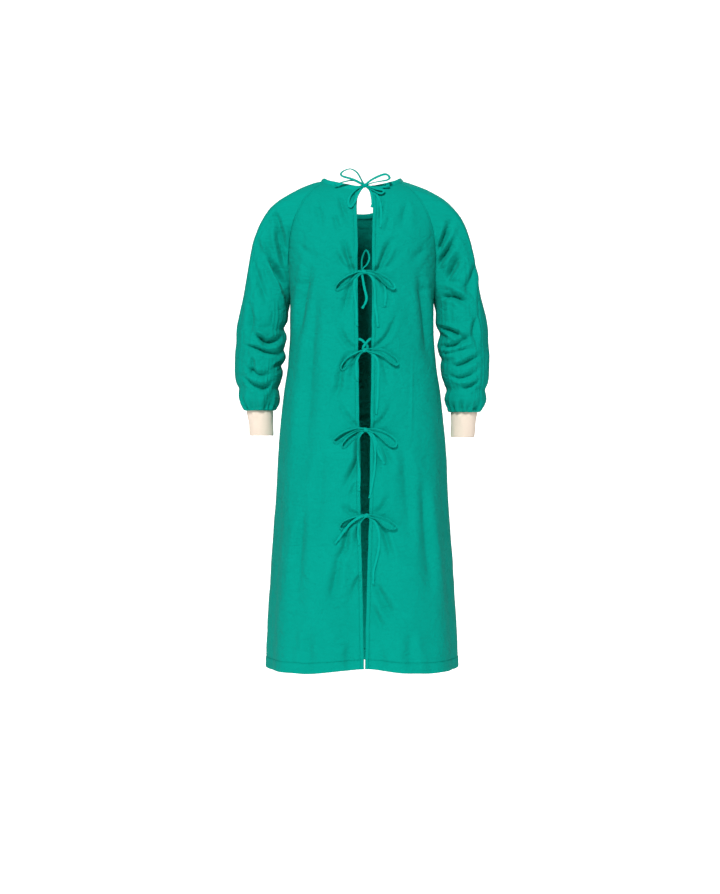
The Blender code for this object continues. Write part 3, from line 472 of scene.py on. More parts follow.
# The same for the sleeves, from behind and from the front.
LEFT_SLEEVE_BACK = rows_of(Crease, (
    (((-173, -191), (-190, -150), (-210, -104)), 6, -3.2, 0.35),
    (((-213, -116), (-200, -156), (-188, -191), (-176, -222)), 6.5, -3.0, 0.5),
    (((-247, -135), (-226, -196), (-204, -262), (-180, -330)), 7, 2.8, 0.5),
    (((-240, -167), (-212, -222), (-186, -274)), 6.5, -3.2, 0.5),
    (((-216, -78), (-196, -126), (-178, -178)), 6, -1.8, 0.4),
    (((-262, -196), (-240, -266), (-212, -330)), 9, -1.8, 0.5),
    (((-262, -378), (-243, -388), (-229, -402), (-205, -392), (-182, -378)), 6, -3.4, 0.5),
    (((-264, -366), (-236, -376), (-206, -374)), 6, 1.8, 0.5),
    (((-291, -402), (-240, -418), (-186, -428)), 5, -2.0, 0.5),
    (((-214, -458), (-198, -446), (-185, -433)), 5, -1.8, 0.5),
    (((-284, -448), (-262, -470), (-236, -478), (-206, -470)), 6, -1.8, 0.5),
    (((-290, -476), (-262, -500), (-226, -504)), 6, -1.8, 0.6),
    (((-214, -486), (-230, -504), (-250, -512)), 6, -1.4, 0.6),
    (((-274, -300), (-266, -340), (-272, -390)), 8, -1.8, 0.5),
    (((-268, -428), (-262, -452), (-268, -486)), 6, -1.8, 0.5),
))
RIGHT_SLEEVE_BACK = rows_of(Crease, (
    (((180, -188), (198, -144), (220, -97)), 6, -3.2, 0.35),
    (((176, -226), (196, -188), (232, -140)), 6.5, -2.8, 0.4),
    (((201, -253), (218, -218), (237, -184)), 7, -2.8, 0.5),
    (((184, -290), (222, -290), (252, -306), (270, -320)), 6.5, -2.8, 0.4),
    (((190, -262), (226, -270), (262, -296)), 7, 1.8, 0.5),
    (((182, -358), (214, -372), (240, -386), (264, -397)), 6, -2.8, 0.4),
    (((184, -402), (213, -409), (244, -392), (271, -371)), 6, -2.8, 0.5),
    (((190, -424), (228, -420), (262, -410)), 5.5, -1.8, 0.5),
    (((208, -459), (250, -446), (294, -421)), 5.5, -2.4, 0.5),
    (((206, -474), (232, -484), (262, -476), (288, -458)), 6, -1.8, 0.5),
    (((286, -482), (262, -502), (232, -508)), 6, -1.8, 0.6),
    (((274, -200), (262, -250), (240, -300)), 9, -1.8, 0.5),
    (((276, -330), (268, -370), (274, -410)), 7, -1.6, 0.5),
))
SLEEVE_FRONT = rows_of(Crease, (
    (((176, -186), (198, -140), (224, -104)), 7, -3.0, 0.35),
    (((178, -230), (204, -190), (240, -156)), 7, -2.6, 0.4),
    (((186, -286), (222, -330), (258, -352)), 7, -2.6, 0.5),
    (((186, -330), (224, -368), (270, -380)), 6, -2.8, 0.5),
    (((190, -372), (230, -392), (276, -390)), 6, -2.6, 0.5),
    (((194, -410), (226, -420), (262, -412)), 5.5, -2.0, 0.5),
    (((196, -450), (232, -462), (280, -446)), 6, -2.2, 0.5),
    (((216, -474), (234, -500), (256, -526)), 6, -2.4, 0.6),
    (((262, -220), (248, -280), (232, -330)), 9, -1.8, 0.5),
))
CREASE_START_WIDTH = 0.75
CREASE_END_WIDTH = 1.5
CREASE_REACH = 4.5
CREASE_STEP = 0.012
SLEEVE_CREASE_STEP = 0.010
BODY_CREASING = 2.2
SLEEVE_CREASING = 3.9
CREASE_CORE = 0.35
CREASE_CORE_WIDTH = 0.5
CREASE_RISE = 0.65
CREASE_FALL = 0.85
CREASE_SHOULDER_HEIGHT = 0.42
CREASE_SHOULDER_PLACE = 1.9
CREASE_SHOULDER_WIDTH = 0.9


def curve_through(points, step):
    """Evenly spaced points on a smooth curve through the given ones."""
    points = np.asarray(points, float)
    ends = np.vstack([2 * points[0] - points[1], points, 2 * points[-1] - points[-2]])
    fine = []
    for a, b, c, d in zip(ends, ends[1:], ends[2:], ends[3:]):
        t = np.linspace(0, 1, 24, endpoint=False)[:, None]
        fine.append(
            (2 * b + (c - a) * t + (2 * a - 5 * b + 4 * c - d) * t**2
             + (3 * b - a - 3 * c + d) * t**3) / 2
        )
    fine = np.vstack(fine + [points[-1:]])
    run = run_along(fine)
    return at_places(fine, run, np.linspace(0, run[-1], max(2, round(run[-1] / step) + 1)))


def run_along(line):
    """How far each point of a line is along it from the first."""
    return np.concatenate([[0], np.cumsum(np.linalg.norm(np.diff(line, axis=0), axis=1))])


def at_places(values, run, places):
    """Each column of values, given along a run, at other places on it."""
    return np.stack([np.interp(places, run, column) for column in values.T], axis=1)


def smoothed(rows, times):
    """The rows between the first and the last, drawn towards their neighbours."""
    for _ in range(times):
        rows[1:-1] = (rows[:-2] + 2 * rows[1:-1] + rows[2:]) / 4
    return rows


def side_by_side(first, second):
    """Places on the flat cloth from their two coordinates."""
    return np.stack(np.broadcast_arrays(first, second), axis=-1)


def crease_heights(points, lines):
    """The creases' height at points on the cloth. Each line is a crease and its places."""
    height = np.zeros(len(points))
    for crease, line in lines:
        width, reach = crease.width / 1000, CREASE_REACH * crease.width / 1000
        near = np.all((points > line.min(0) - reach) & (points < line.max(0) + reach), axis=1)
        close = points[near]
        if not len(close):
            continue
        nearest = np.full(len(close), np.inf)
        share = np.zeros(len(close))
        for i, (a, b) in enumerate(zip(line, line[1:])):
            along = b - a
            t = np.clip((close - a) @ along / (along @ along), 0, 1)
            distance = np.linalg.norm(close - a - t[:, None] * along, axis=1)
            closer = distance < nearest
            nearest[closer] = distance[closer]
            share[closer] = (i + t[closer]) / (len(line) - 1)
        rising = ease(share / (CREASE_RISE * crease.peak))
        falling = ease((1 - share) / (CREASE_FALL * (1 - crease.peak)))
        width = width * (CREASE_START_WIDTH + (CREASE_END_WIDTH - CREASE_START_WIDTH) * share)
        place = nearest / width
        profile = bell(place, 1.0) + CREASE_CORE * bell(place, CREASE_CORE_WIDTH)
        beside = place - CREASE_SHOULDER_PLACE
        profile -= CREASE_SHOULDER_HEIGHT * bell(beside, CREASE_SHOULDER_WIDTH)
        height[near] += crease.height / 1000 * profile * rising * falling
    return height


def body_lines(creases, front):
    """Each crease with its line laid on the body's form."""
    lines = []
    for crease in creases:
        flat = curve_through(np.array(crease.points) / 1000, CREASE_STEP)
        lines.append((crease, form(angle_at(flat[:, 0], flat[:, 1], front), flat[:, 1])))
    return lines


BODY_LINES = {False: body_lines(BACK_CREASES, False), True: body_lines(FRONT_CREASES, True)}
BROAD, MIDDLE, FINE, EDGE = Noise(11), Noise(23), Noise(37), Noise(53)

# Layers of unevenness: how high each is, and its length across the cloth and along it.
Rumple = namedtuple("Rumple", "height across along")
BROAD_RUMPLE = Rumple(0.0017, 0.085, 0.150)
MIDDLE_RUMPLE = Rumple(0.0008, 0.034, 0.040)
FINE_RUMPLE = Rumple(0.0006, 0.026, 0.0125)
RUMPLE_SHIFT = 17.0
NECK_SMOOTH = 0.012
NECK_SMOOTH_LENGTH = 0.030
SLIT_WANDER = 0.0009
SLIT_WANDER_LENGTH = 0.032


def rumple(across, along, seed):
    """Soft unevenness of the cloth: broad swells, and finer wrinkles that lie level."""
    shift = RUMPLE_SHIFT * seed
    broad, middle, fine = BROAD_RUMPLE, MIDDLE_RUMPLE, FINE_RUMPLE
    height = broad.height * BROAD(across / broad.across + shift, along / broad.along)
    height = height + middle.height * MIDDLE(across / middle.across + shift, along / middle.along)
    ridges = 0.5 - np.abs(FINE(across / fine.across + shift, along / fine.along))
    return height + fine.height * ridges


def body_height(points, angle, z, front):
    """How far the worn cloth stands off the form of the body."""
    across = (FRONT_GIRTH if front else BACK_GIRTH)(angle, z)
    below_neck = ease((SHOULDER_NECK_Z - NECK_SMOOTH - z) / NECK_SMOOTH_LENGTH)
    height = rumple(across, z, 3.0 if front else 1.0)
    flat = points.reshape(-1, 3)
    creased = crease_heights(flat, BODY_LINES[front]).reshape(height.shape)
    return (height + BODY_CREASING * creased) * below_neck


def slit_edge(z, sign):
    """Where a back panel's free edge lies, a little uneven between the ties."""
    wander = SLIT_WANDER * EDGE(z / SLIT_WANDER_LENGTH, sign * 3.7)
    return SLIT_CENTRE + sign * (HALF_GAP(z) + wander)


def corner_lift(angle, z):
    """How far the hem rises towards the corners of the back opening."""
    grown = np.clip((CORNER_START_Z - z) / (CORNER_START_Z - HEM_Z), 0.0, None)
    away = (angle + np.pi / 2) * BACK_DEPTH(z)
    return CORNER_LIFT * grown**2 * bell(away, CORNER_WIDTH)


def row_places(side, front, seam_z, samples=200):
    """Angles and heights along rows from the middle to the seams, one row for each of
    the seam's heights."""
    seam_z = seam_z[:, None]
    across = np.linspace(0, 1, samples)[None, :]
    share = np.clip((seam_z - SHOULDER_NECK_Z) / (UNDERARM_Z - SHOULDER_NECK_Z), 0, 1)
    neck_z = FRONT_NECK_Z if front else BACK_NECK_Z
    middle_z = np.where(share < 1, neck_z + share * (UNDERARM_Z - neck_z), seam_z)
    outer_x = side.sign * np.where(share < 1, RAGLAN_X(seam_z), HALF_WIDTH(seam_z))
    inner_x = np.zeros_like(middle_z) if front else slit_edge(middle_z, side.sign)
    outer, inner = angle_at(outer_x, seam_z, front), angle_at(inner_x, middle_z, front)
    outward, rise = np.sin(across * np.pi / 2), 1 - np.cos(across * np.pi / 2)
    if not front:
        rise = BACK_NECK_ROUND * rise + (1 - BACK_NECK_ROUND) * outward
    z = middle_z + (seam_z - middle_z) * rise
    by_distance = angle_at(inner_x + (outer_x - inner_x) * outward, z, front)
    by_angle = inner + (outer - inner) * across
    angle = by_distance + (by_angle - by_distance) * share
    return angle, z + corner_lift(angle, z)


# Rows above the hem's edge, rows beside its stitches, and where the even rows stop
ABOVE_EDGE = (0.0, 0.0006, 0.0020, 0.0055)
BESIDE_STITCH = (-0.0032, -0.0016, -0.0007, 0.0, 0.0007, 0.0016, 0.0032)
EVEN_ABOVE_STITCH = 0.006
EVEN_BELOW_STITCH = 0.0062
EVEN_ABOVE_EDGE = 0.007


def row_heights(step):
    """Heights of the panels' rows, closer together at the stitched hem."""
    hem = [HEM_Z + up for up in ABOVE_EDGE]
    stitched = [HEM_Z + HEM_STITCH + up for up in BESIDE_STITCH]
    plain = np.arange(SHOULDER_NECK_Z, HEM_Z + HEM_STITCH + EVEN_ABOVE_STITCH, -step)
    turned = np.arange(HEM_Z + HEM_STITCH - EVEN_BELOW_STITCH, HEM_Z + EVEN_ABOVE_EDGE, -step)
    return np.array(sorted([*plain, *stitched, *turned, *hem], reverse=True))


def spread(angle, z, before, step, after):
    """Places along each row: fixed distances from its start and its end, and even ones
    between. Gives the angles, heights and the distances from both ends."""
    points = form(angle, z)
    run = np.zeros(angle.shape)
    run[:, 1:] = np.cumsum(np.linalg.norm(np.diff(points, axis=1), axis=-1), axis=1)
    length = run[:, -1:]
    count = round(float(np.median(length)) / step)
    even = np.linspace(before[-1], 1, count)[None, 1:-1]
    even = before[-1] + (length - before[-1] - after[0]) * (even - before[-1]) / (1 - before[-1])
    rows = len(angle)
    want = np.hstack([
        np.tile(before, (rows, 1)), even, length - np.array(after)[None, :],
    ])
    new_angle = np.array([np.interp(w, r, a) for w, r, a in zip(want, run, angle)])
    new_z = np.array([np.interp(w, r, v) for w, r, v in zip(want, run, z)])
    return new_angle, new_z, want, length - want


FREE_EDGE = (0.0, 0.0008, 0.0022, 0.0045, 0.0066, 0.0077, 0.0085, 0.0093, 0.0108, 0.0132)
MIDDLE_LINE = (0.0, 0.004)
SEAM_EDGE = (0.0085, 0.0065, 0.0053, 0.0045, 0.0037, 0.0024, 0.0012, 0.0005, 0.0)


# Puckers along a line of stitches: their height, their length, and how far they reach.
Pucker = namedtuple("Pucker", "height length reach")
EDGE_PUCKER = Pucker(0.00055, 0.0062, 0.0065)
HEM_PUCKER = Pucker(0.0007, 0.0072, 0.0090)
SEAM_PUCKER = Pucker(0.0006, 0.0068, 0.0050)
HEM_PUCKER_SLANT = 0.016
EDGE_PUCKER_INSET = 0.001
STEP_LENGTH = 0.0014
STEP_INSET = 0.0004
GROOVE_WIDTH = 0.0012
EDGE_ROUND = 0.0004
EDGE_ROUND_LENGTH = 0.0010
SEAM_GROOVE = 0.0004
SEAM_GROOVE_WIDTH = 0.0008
SEAM_DIP = 0.0006
SEAM_DIP_WIDTH = 0.0010
SEAM_PLAIN_LENGTH = 0.022
SEAM_PUCKER_START = 0.002
HEM_HANG = 0.0013
HEM_HANG_LENGTH = 0.055
HEM_HANG_START_Z = -0.9
HEM_HANG_RISE = 0.25
HEM_HANG_FROM_SEAM = 0.03


def stitched_step(distance, stitch_at):
    """A turned edge that is thicker as far as its stitch line, and drawn in along it."""
    turned = 1 - ease((distance - stitch_at + STEP_INSET) / STEP_LENGTH)
    return TURNING * turned - STITCH_GROOVE * bell(distance - stitch_at, GROOVE_WIDTH)


Panel = namedtuple("Panel", "outer thickness flat normal")


def panel_half(side, front, step):
    """Half of the body's cloth: its outer points, thickness and flat places."""
    seam_z = row_heights(step)
    angle, z = row_places(side, front, seam_z)
    before = MIDDLE_LINE if front else FREE_EDGE
    angle, z, from_middle, from_seam = spread(angle, z, before, step, SEAM_EDGE)
    base, normal = form(angle, z), form_normal(angle, z)
    height = body_height(base, angle, z, front)
    height = height * ease(from_seam / SEAM_PLAIN_LENGTH)
    above_hem = (seam_z - HEM_Z)[:, None] + np.zeros_like(z)
    if not front:
        height = height + stitched_step(from_middle, EDGE_STITCH)
        drawn = bell(from_middle - EDGE_STITCH + EDGE_PUCKER_INSET, EDGE_PUCKER.reach)
        uneven = EDGE(z / EDGE_PUCKER.length, side.sign * 5.3)
        height = height + EDGE_PUCKER.height * uneven * drawn
        height = height - EDGE_ROUND * (1 - ease(from_middle / EDGE_ROUND_LENGTH))
    girth = (FRONT_GIRTH if front else BACK_GIRTH)(angle, z)
    height = height + stitched_step(above_hem, HEM_STITCH)
    drawn = bell(above_hem - HEM_STITCH, HEM_PUCKER.reach)
    uneven = EDGE(girth / HEM_PUCKER.length + above_hem / HEM_PUCKER_SLANT, 8.1)
    height = height + HEM_PUCKER.height * uneven * drawn
    height = height - EDGE_ROUND * (1 - ease(above_hem / EDGE_ROUND_LENGTH))
    height = height - SEAM_GROOVE * bell(from_seam - SEAM_STITCH, SEAM_GROOVE_WIDTH)
    height = height - SEAM_DIP * bell(from_seam, SEAM_DIP_WIDTH)
    drawn = bell(from_seam - SEAM_STITCH, SEAM_PUCKER.reach) * ease(from_seam / SEAM_PUCKER_START)
    uneven = EDGE(z / SEAM_PUCKER.length, 12.0 + side.sign)
    height = height + SEAM_PUCKER.height * uneven * drawn
    low = ease((HEM_HANG_START_Z - z) / HEM_HANG_RISE)
    hang = HEM_HANG * EDGE(girth / HEM_HANG_LENGTH, 21.4) * low
    hang = hang * ease(from_seam / HEM_HANG_FROM_SEAM)
    outer = base + normal * height[..., None]
    outer[..., 2] += hang
    turned = 1 - ease((above_hem - HEM_STITCH) / STEP_LENGTH)
    if not front:
        turned = np.maximum(turned, 1 - ease((from_middle - EDGE_STITCH) / STEP_LENGTH))
    thickness = CLOTH + TURNING * turned
    outer, thickness = add_flange(outer, normal[:, -1], thickness)
    flat = np.stack([girth, z], axis=-1)
    flat = np.concatenate([flat, flat[:, -1:], flat[:, -1:]], axis=1)
    return Panel(outer, thickness, flat, normal)


def add_flange(outer, normal, thickness):
    """Turns the seam's edge inward, as a seam allowance that closes the joint."""
    inward = unit(outer[:, -2] - outer[:, -1])
    first = outer[:, -1] + inward * FLANGE_GAP * 0.5 - normal * FLANGE_START
    second = outer[:, -1] + inward * FLANGE_GAP - normal * FLANGE
    grown = np.concatenate([outer, first[:, None], second[:, None]], axis=1)
    return grown, np.concatenate([thickness, thickness[:, -1:], thickness[:, -1:]], axis=1)


def grid_normals(grid, closed, outward):
    """Unit normals of a grid of points, facing the way of the given ones on the whole."""
    if closed:
        around = np.roll(grid, -1, axis=1) - np.roll(grid, 1, axis=1)
    else:
        around = np.gradient(grid, axis=1)
    normals = unit(np.cross(np.gradient(grid, axis=0), around))
    count = outward.shape[1]
    return normals if (normals[:, :count] * outward).sum() > 0 else -normals


def grid_quads(first_ids, second_ids, closed):
    """Faces between two lines of point numbers."""
    if closed:
        after_first, after_second = np.roll(first_ids, -1), np.roll(second_ids, -1)
    else:
        first_ids, after_first = first_ids[:-1], first_ids[1:]
        second_ids, after_second = second_ids[:-1], second_ids[1:]
    return np.stack([first_ids, second_ids, after_second, after_first], axis=1)


def sheet_faces(ids, closed):
    return np.concatenate([grid_quads(a, b, closed) for a, b in zip(ids, ids[1:])])


def mesh_object(name, points, faces, finish, flat=None, piece_slot=None):
    """A smooth-shaded mesh, which rides on the gown's one body when it is given a piece slot."""
    mesh = bpy.data.meshes.new(name)
    mesh.from_pydata(points, [], faces)
    mesh.materials.append(finish)
    if flat is not None:
        layer = mesh.uv_layers.new(name="cloth")
        corners = np.empty(len(mesh.loops), dtype=int)
        mesh.loops.foreach_get("vertex_index", corners)
        layer.data.foreach_set("uv", np.asarray(flat)[corners].ravel())
    mesh.shade_smooth()
    made = bpy.data.objects.new(name, mesh)
    bpy.context.scene.collection.objects.link(made)
    if piece_slot:
        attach(made, "root")
    return made


def volume(points, faces):
    """Six times the volume that faces of four points enclose, negative if inside out."""
    a, b, c, d = (points[faces[:, k]] for k in range(4))
    return (a * np.cross(b, c)).sum() + (a * np.cross(c, d)).sum()


def add_tube(name, grid, finish, flat, piece_slot):
    """A closed tube through rings of points, capped at both ends."""
    ids = np.arange(grid.shape[0] * grid.shape[1]).reshape(grid.shape[:2])
    points, quads = grid.reshape(-1, 3), sheet_faces(ids, True)
    faces = [tuple(quad) for quad in quads] + [tuple(ids[0]), tuple(ids[-1][::-1])]
    if volume(points, quads) < 0:
        faces = [face[::-1] for face in faces]
    return mesh_object(name, points, faces, finish, flat.reshape(-1, 2), piece_slot)


def add_shell(name, outer, thickness, flat, outward, finish, closed=False, free=()):
    """Thin cloth through a grid of points. Its free sides have rounded rims."""
    normals = grid_normals(outer, closed, outward)
    inner = outer - normals * thickness[..., None]
    rows, columns = outer.shape[:2]
    ids = np.arange(rows * columns).reshape(rows, columns)
    inner_ids = ids + rows * columns
    points = [outer.reshape(-1, 3), inner.reshape(-1, 3)]
    places = [flat.reshape(-1, 2)] * 2
    faces = [sheet_faces(ids, closed), sheet_faces(inner_ids, closed)[:, ::-1]]
    total = 2 * rows * columns
    sides = {
        "top": ((0, slice(None)), (1, slice(None)), closed, True),
        "bottom": ((-1, slice(None)), (-2, slice(None)), closed, False),
    }
    if not closed:
        sides["start"] = ((slice(None), 0), (slice(None), 1), False, False)
        sides["end"] = ((slice(None), -1), (slice(None), -2), False, True)
    for side_name, (edge, inside, looped, flip) in sides.items():
        lines = [ids[edge], inner_ids[edge]]
        if side_name in free:
            middle = (outer[edge] + inner[edge]) / 2
            out = unit(outer[edge] - outer[inside])
            middle = middle + out * RIM_SHARE * thickness[edge][..., None]
            lines.insert(1, np.arange(total, total + len(middle)))
            points.append(middle)
            places.append(flat[edge])
            total += len(middle)
        for a, b in zip(lines, lines[1:]):
            quads = grid_quads(a, b, looped)
            faces.append(quads if flip else quads[:, ::-1])
    points, faces = np.concatenate(points), np.concatenate(faces)
    if volume(points, faces) < 0:
        faces = faces[:, ::-1]
    made = mesh_object(name, points, faces, finish, np.concatenate(places), "gown_cloth")
    return made, normals


# Gathers of the sleeves' ends: the puckers that the cuff draws in.
GATHERS = 15
GATHER_TOP_Z = -0.508
GATHER_DEPTH = 0.0095
GATHER_ANGLE = 0.095
GATHER_PLACES = (-0.3, 0.3)
GATHER_SLANTS = (-4.0, 4.0)
GATHER_LENGTHS = (-1.3, -0.6)
GATHER_DEPTH_SHARES = (0.55, 1.25)
GATHER_WIDENING = 1.6
GATHER_WIDE_ABOVE = 0.045
GATHER_WIDEST = 1.2
GATHER_END = 0.0020


def armhole_points(side, strand):
    """The sleeve's edge at strands 0 to 24: from the underarm up the back, over the
    shoulder and down the front. Gives the points, the ways the cloth leaves, the normals."""
    last = SHOULDER_STRAND + SHOULDER_STRANDS
    place = np.where(strand <= SHOULDER_STRAND, SHOULDER_STRAND - strand, strand - last)
    place = np.clip(place, 0, SHOULDER_STRAND)
    front = strand > SHOULDER_STRAND + SHOULDER_STRANDS / 2
    z = RAGLAN_Z(place)
    x = side.sign * RAGLAN_X(z)
    parts = []
    share = (z - RAGLAN[0].z) / (RAGLAN[-1].z - RAGLAN[0].z)
    out, away, down = (
        column_curve(LEAVINGS, name, "share")(share) for name in ("out", "away", "down")
    )
    for on_front in (False, True):
        angle = angle_at(x, z, on_front)
        point, normal = form(angle, z), form_normal(angle, z)
        way = unit(np.stack([side.sign * out, away if on_front else -away, -down], axis=-1))
        into_body = np.minimum(0.0, (way * normal).sum(-1, keepdims=True))
        parts.append((point, unit(way - normal * into_body), normal))
    over = np.clip((strand - SHOULDER_STRAND) / SHOULDER_STRANDS, 0, 1)
    on_top = ((over > 0) & (over < 1))[:, None]
    point, way, normal = (
        np.where(
            on_top,
            back + (ahead - back) * over[:, None],
            np.where(front[:, None], ahead, back),
        )
        for back, ahead in zip(*parts)
    )
    arch = np.sin(np.pi * over)[:, None]
    point = point + np.array([side.sign * SHOULDER_ARCH_OUT, 0, SHOULDER_ARCH_UP]) * arch
    return point, unit(way), unit(normal)


def level_ring(z, side, angle):
    """A level ring of the sleeve, starting at its inner side and going by the back."""
    drop = side.wrist_drop * min(1.0, (SLEEVE[0].z - z) / (SLEEVE[0].z - FOREARM_Z))
    row = {name: column_curve(SLEEVE, name)(z) for name in SleeveRing._fields[1:]}
    return np.stack([
        side.sign * (row["x"] - row["half_width"] * np.cos(angle)),
        row["y"] - row["half_depth"] * np.sin(angle),
        np.full(len(angle), z - drop),
    ], axis=1)


def sleeve_grid(side, strand):
    """The sleeve's form from the armhole to the cuff, a row of points at a time."""
    angle = 2 * np.pi * strand / STRANDS
    start, way, normal = armhole_points(side, strand)
    end = level_ring(SLEEVE[0].z, side, angle)
    chord = np.linalg.norm(end - start, axis=1)[:, None]
    leave = start + way * LEAVING_SHARE * chord
    arrive = end + np.array([0, 0, ARRIVING_SHARE]) * chord
    over = bell(strand - STRANDS / 2, TOP_STRANDS)[:, None]
    ones = np.ones(len(strand))
    out = np.stack([
        side.sign * SHOULDER_OUT[0] * ones, start[:, 1] * LEAVING_DEPTH, SHOULDER_OUT[1] * ones,
    ], axis=1)
    down = np.stack([
        side.sign * SHOULDER_DOWN[0] * ones, (start[:, 1] + end[:, 1]) / 2,
        SHOULDER_DOWN[1] * ones,
    ], axis=1)
    leave = leave + (out - leave) * over
    arrive = arrive + (down - arrive) * over
    rows = [
        start * (1 - t)**3 + leave * 3 * t * (1 - t)**2 + arrive * 3 * t**2 * (1 - t) + end * t**3
        for t in sleeve_shares()
    ]
    for z in sleeve_levels():
        rows.append(level_ring(z, side, angle))
    return np.array(rows), way, normal


SHARES_AT_SEAM = (0.0, 0.003, 0.008)
EVEN_ABOVE_GATHERS = 0.006
GATHERED_LEVELS = (-0.5545, -0.5565, -0.5580, -0.5590, -0.5597, -0.5602, -0.5605)


def sleeve_shares():
    """Shares of the way from the seam to the first level ring, closer at the seam."""
    even = np.linspace(0, 1, SHOULDER_ROWS, endpoint=False)
    return np.concatenate([SHARES_AT_SEAM, even[1:]])


def sleeve_levels():
    """Heights of the level rings, closer together at the gathered end."""
    plain = np.arange(SLEEVE[0].z, SLEEVE[-2].z + EVEN_ABOVE_GATHERS, -SLEEVE_STEP)
    return [*plain, *GATHERED_LEVELS]


def gather_heights(side, angle, z):
    """Uneven puckers, deepest at the cuff that draws them in, and round between."""
    draws = np.random.default_rng(71 + side.sign)
    height = np.zeros(np.broadcast(angle, z).shape)
    above = z - SLEEVE[-1].z
    for i in range(GATHERS):
        centre = 2 * np.pi * (i + draws.uniform(*GATHER_PLACES)) / GATHERS
        centre = centre + draws.uniform(*GATHER_SLANTS) * above
        length = (SLEEVE[-1].z - GATHER_TOP_Z) * draws.uniform(*GATHER_LENGTHS)
        depth = GATHER_DEPTH * draws.uniform(*GATHER_DEPTH_SHARES)
        away = half_turn(angle - centre)
        wider = np.clip(above / GATHER_WIDE_ABOVE, 0, GATHER_WIDEST)
        wide = GATHER_ANGLE * (1 + GATHER_WIDENING * wider)
        height = height - depth * ease(1 - above / length) * bell(away, wide)
    return height * (1 - ease((SLEEVE[-1].z + GATHER_END - z) / GATHER_END))


# Hollows of the inner side of each bent sleeve: height, depth and how high each is.
Hollow = namedtuple("Hollow", "z depth width")
HOLLOWS = {
    "left": rows_of(Hollow, (
        (-0.361, 0.0075, 0.011), (-0.412, 0.0035, 0.008), (-0.452, 0.0060, 0.009),
        (-0.384, -0.0035, 0.012), (-0.431, -0.0030, 0.010),
    )),
    "right": rows_of(Hollow, (
        (-0.375, 0.0060, 0.012), (-0.436, 0.0050, 0.009), (-0.348, -0.0020, 0.012),
        (-0.403, -0.0040, 0.013),
    )),
}
HOLLOW_ANGLE = 0.95
HOLLOW_SLANT = 0.011


def hollow_heights(side, angle, z):
    """The inner side's bumps and hollows, which run down a little as they go round."""
    away = half_turn(angle)
    height = 0
    for hollow in HOLLOWS[side.name]:
        slanted = z - hollow.z + HOLLOW_SLANT * np.abs(away)
        height = height - hollow.depth * bell(slanted, hollow.width) * bell(away, HOLLOW_ANGLE)
    return height


def sleeve_lines(side, grid, angle):
    """The sleeve's creases, laid on the nearest places of its back or its front."""
    back = LEFT_SLEEVE_BACK if side.name == "left" else RIGHT_SLEEVE_BACK
    front = [
        Crease([(side.sign * x, z) for x, z in crease.points], *crease[1:])
        for crease in SLEEVE_FRONT
    ]
    lines = []
    for creases, seen in ((back, angle <= np.pi), (front, angle >= np.pi)):
        places = grid[:, seen].reshape(-1, 3)
        for crease in creases:
            flat = curve_through(np.array(crease.points) / 1000, SLEEVE_CREASE_STEP)
            line = []
            for x, z in flat:
                nearest = np.hypot(places[:, 0] - x, places[:, 2] - z).argmin()
                line.append(places[nearest])
            lines.append((crease, smoothed(np.array(line), 1)))
    return lines


SLEEVE_ACROSS = 0.9
SLEEVE_RUMPLE = 1.25
SECOND_ACROSS = 1.3
SECOND_ALONG = 0.9
PLAIN_FROM_SEAM = 0.014
PLAIN_FROM_CUFF = 0.016
SLEEVE_DIP_WIDTH = 0.0012
LAP_EASE = 1.5
LAP_TURN = 0.0004
SLEEVE_RADIUS = 0.06


def add_sleeve(side, finish):
    strand = np.arange(SLEEVE_COLUMNS) * STRANDS / SLEEVE_COLUMNS
    angle = 2 * np.pi * strand / STRANDS
    grid, way, seam_normal = sleeve_grid(side, strand)
    across = np.stack([np.sin(angle), -np.cos(angle)], axis=1) * SLEEVE_ACROSS
    outward = np.zeros_like(grid)
    outward[..., 0] = -side.sign * np.cos(angle)
    outward[..., 1] = -np.sin(angle)
    normals = grid_normals(grid, True, outward)
    run = np.zeros(grid.shape[:2])
    run[1:] = np.cumsum(np.linalg.norm(np.diff(grid, axis=0), axis=-1), axis=0)
    z = grid[..., 2]
    first = rumple(across[None, :, 0], z, 5.0 + side.sign)
    second = rumple(across[None, :, 1] * SECOND_ACROSS, z * SECOND_ALONG, 8.0 + side.sign)
    height = SLEEVE_RUMPLE * (first + second) / 2
    lines = sleeve_lines(side, grid, angle)
    creased = crease_heights(grid.reshape(-1, 3), lines).reshape(height.shape)
    height = height + SLEEVE_CREASING * creased + hollow_heights(side, angle[None, :], z)
    from_cuff = z - (SLEEVE[-1].z - side.wrist_drop)
    height = height * ease(run / PLAIN_FROM_SEAM) * ease(from_cuff / PLAIN_FROM_CUFF)
    height = height + gather_heights(side, angle[None, :], z + side.wrist_drop)
    height = height - SEAM_DIP * bell(run, SLEEVE_DIP_WIDTH)
    outer = grid + normals * height[..., None]
    along = unit(np.roll(outer[0], -1, axis=0) - np.roll(outer[0], 1, axis=0))
    inward = unit(np.cross(along, way))
    inward = np.where((inward * seam_normal).sum(-1, keepdims=True) > 0, -inward, inward)
    first = outer[0] + way * FLANGE_GAP * 0.5 + inward * FLANGE_START
    second = outer[0] + way * FLANGE_GAP + inward * LAP_DEPTH
    below_seam = ease((np.abs(strand - STRANDS / 2) - SHOULDER_STRANDS / 2) / LAP_EASE)
    third = second - way * LAP * below_seam[:, None] + inward * LAP_TURN
    outer = np.concatenate([third[None], second[None], first[None], outer])
    outward = np.concatenate([outward[:1]] * 3 + [outward])
    girth = np.unwrap(angle) * SLEEVE_RADIUS
    flat = side_by_side(girth[None, :], outer[..., 2])
    thickness = np.full(outer.shape[:2], CLOTH)
    made, facing = add_shell(
        f"sleeve_{side.name}_cloth", outer, thickness, flat, outward, finish, closed=True
    )
    return made, outer[3:], facing[3:], strand


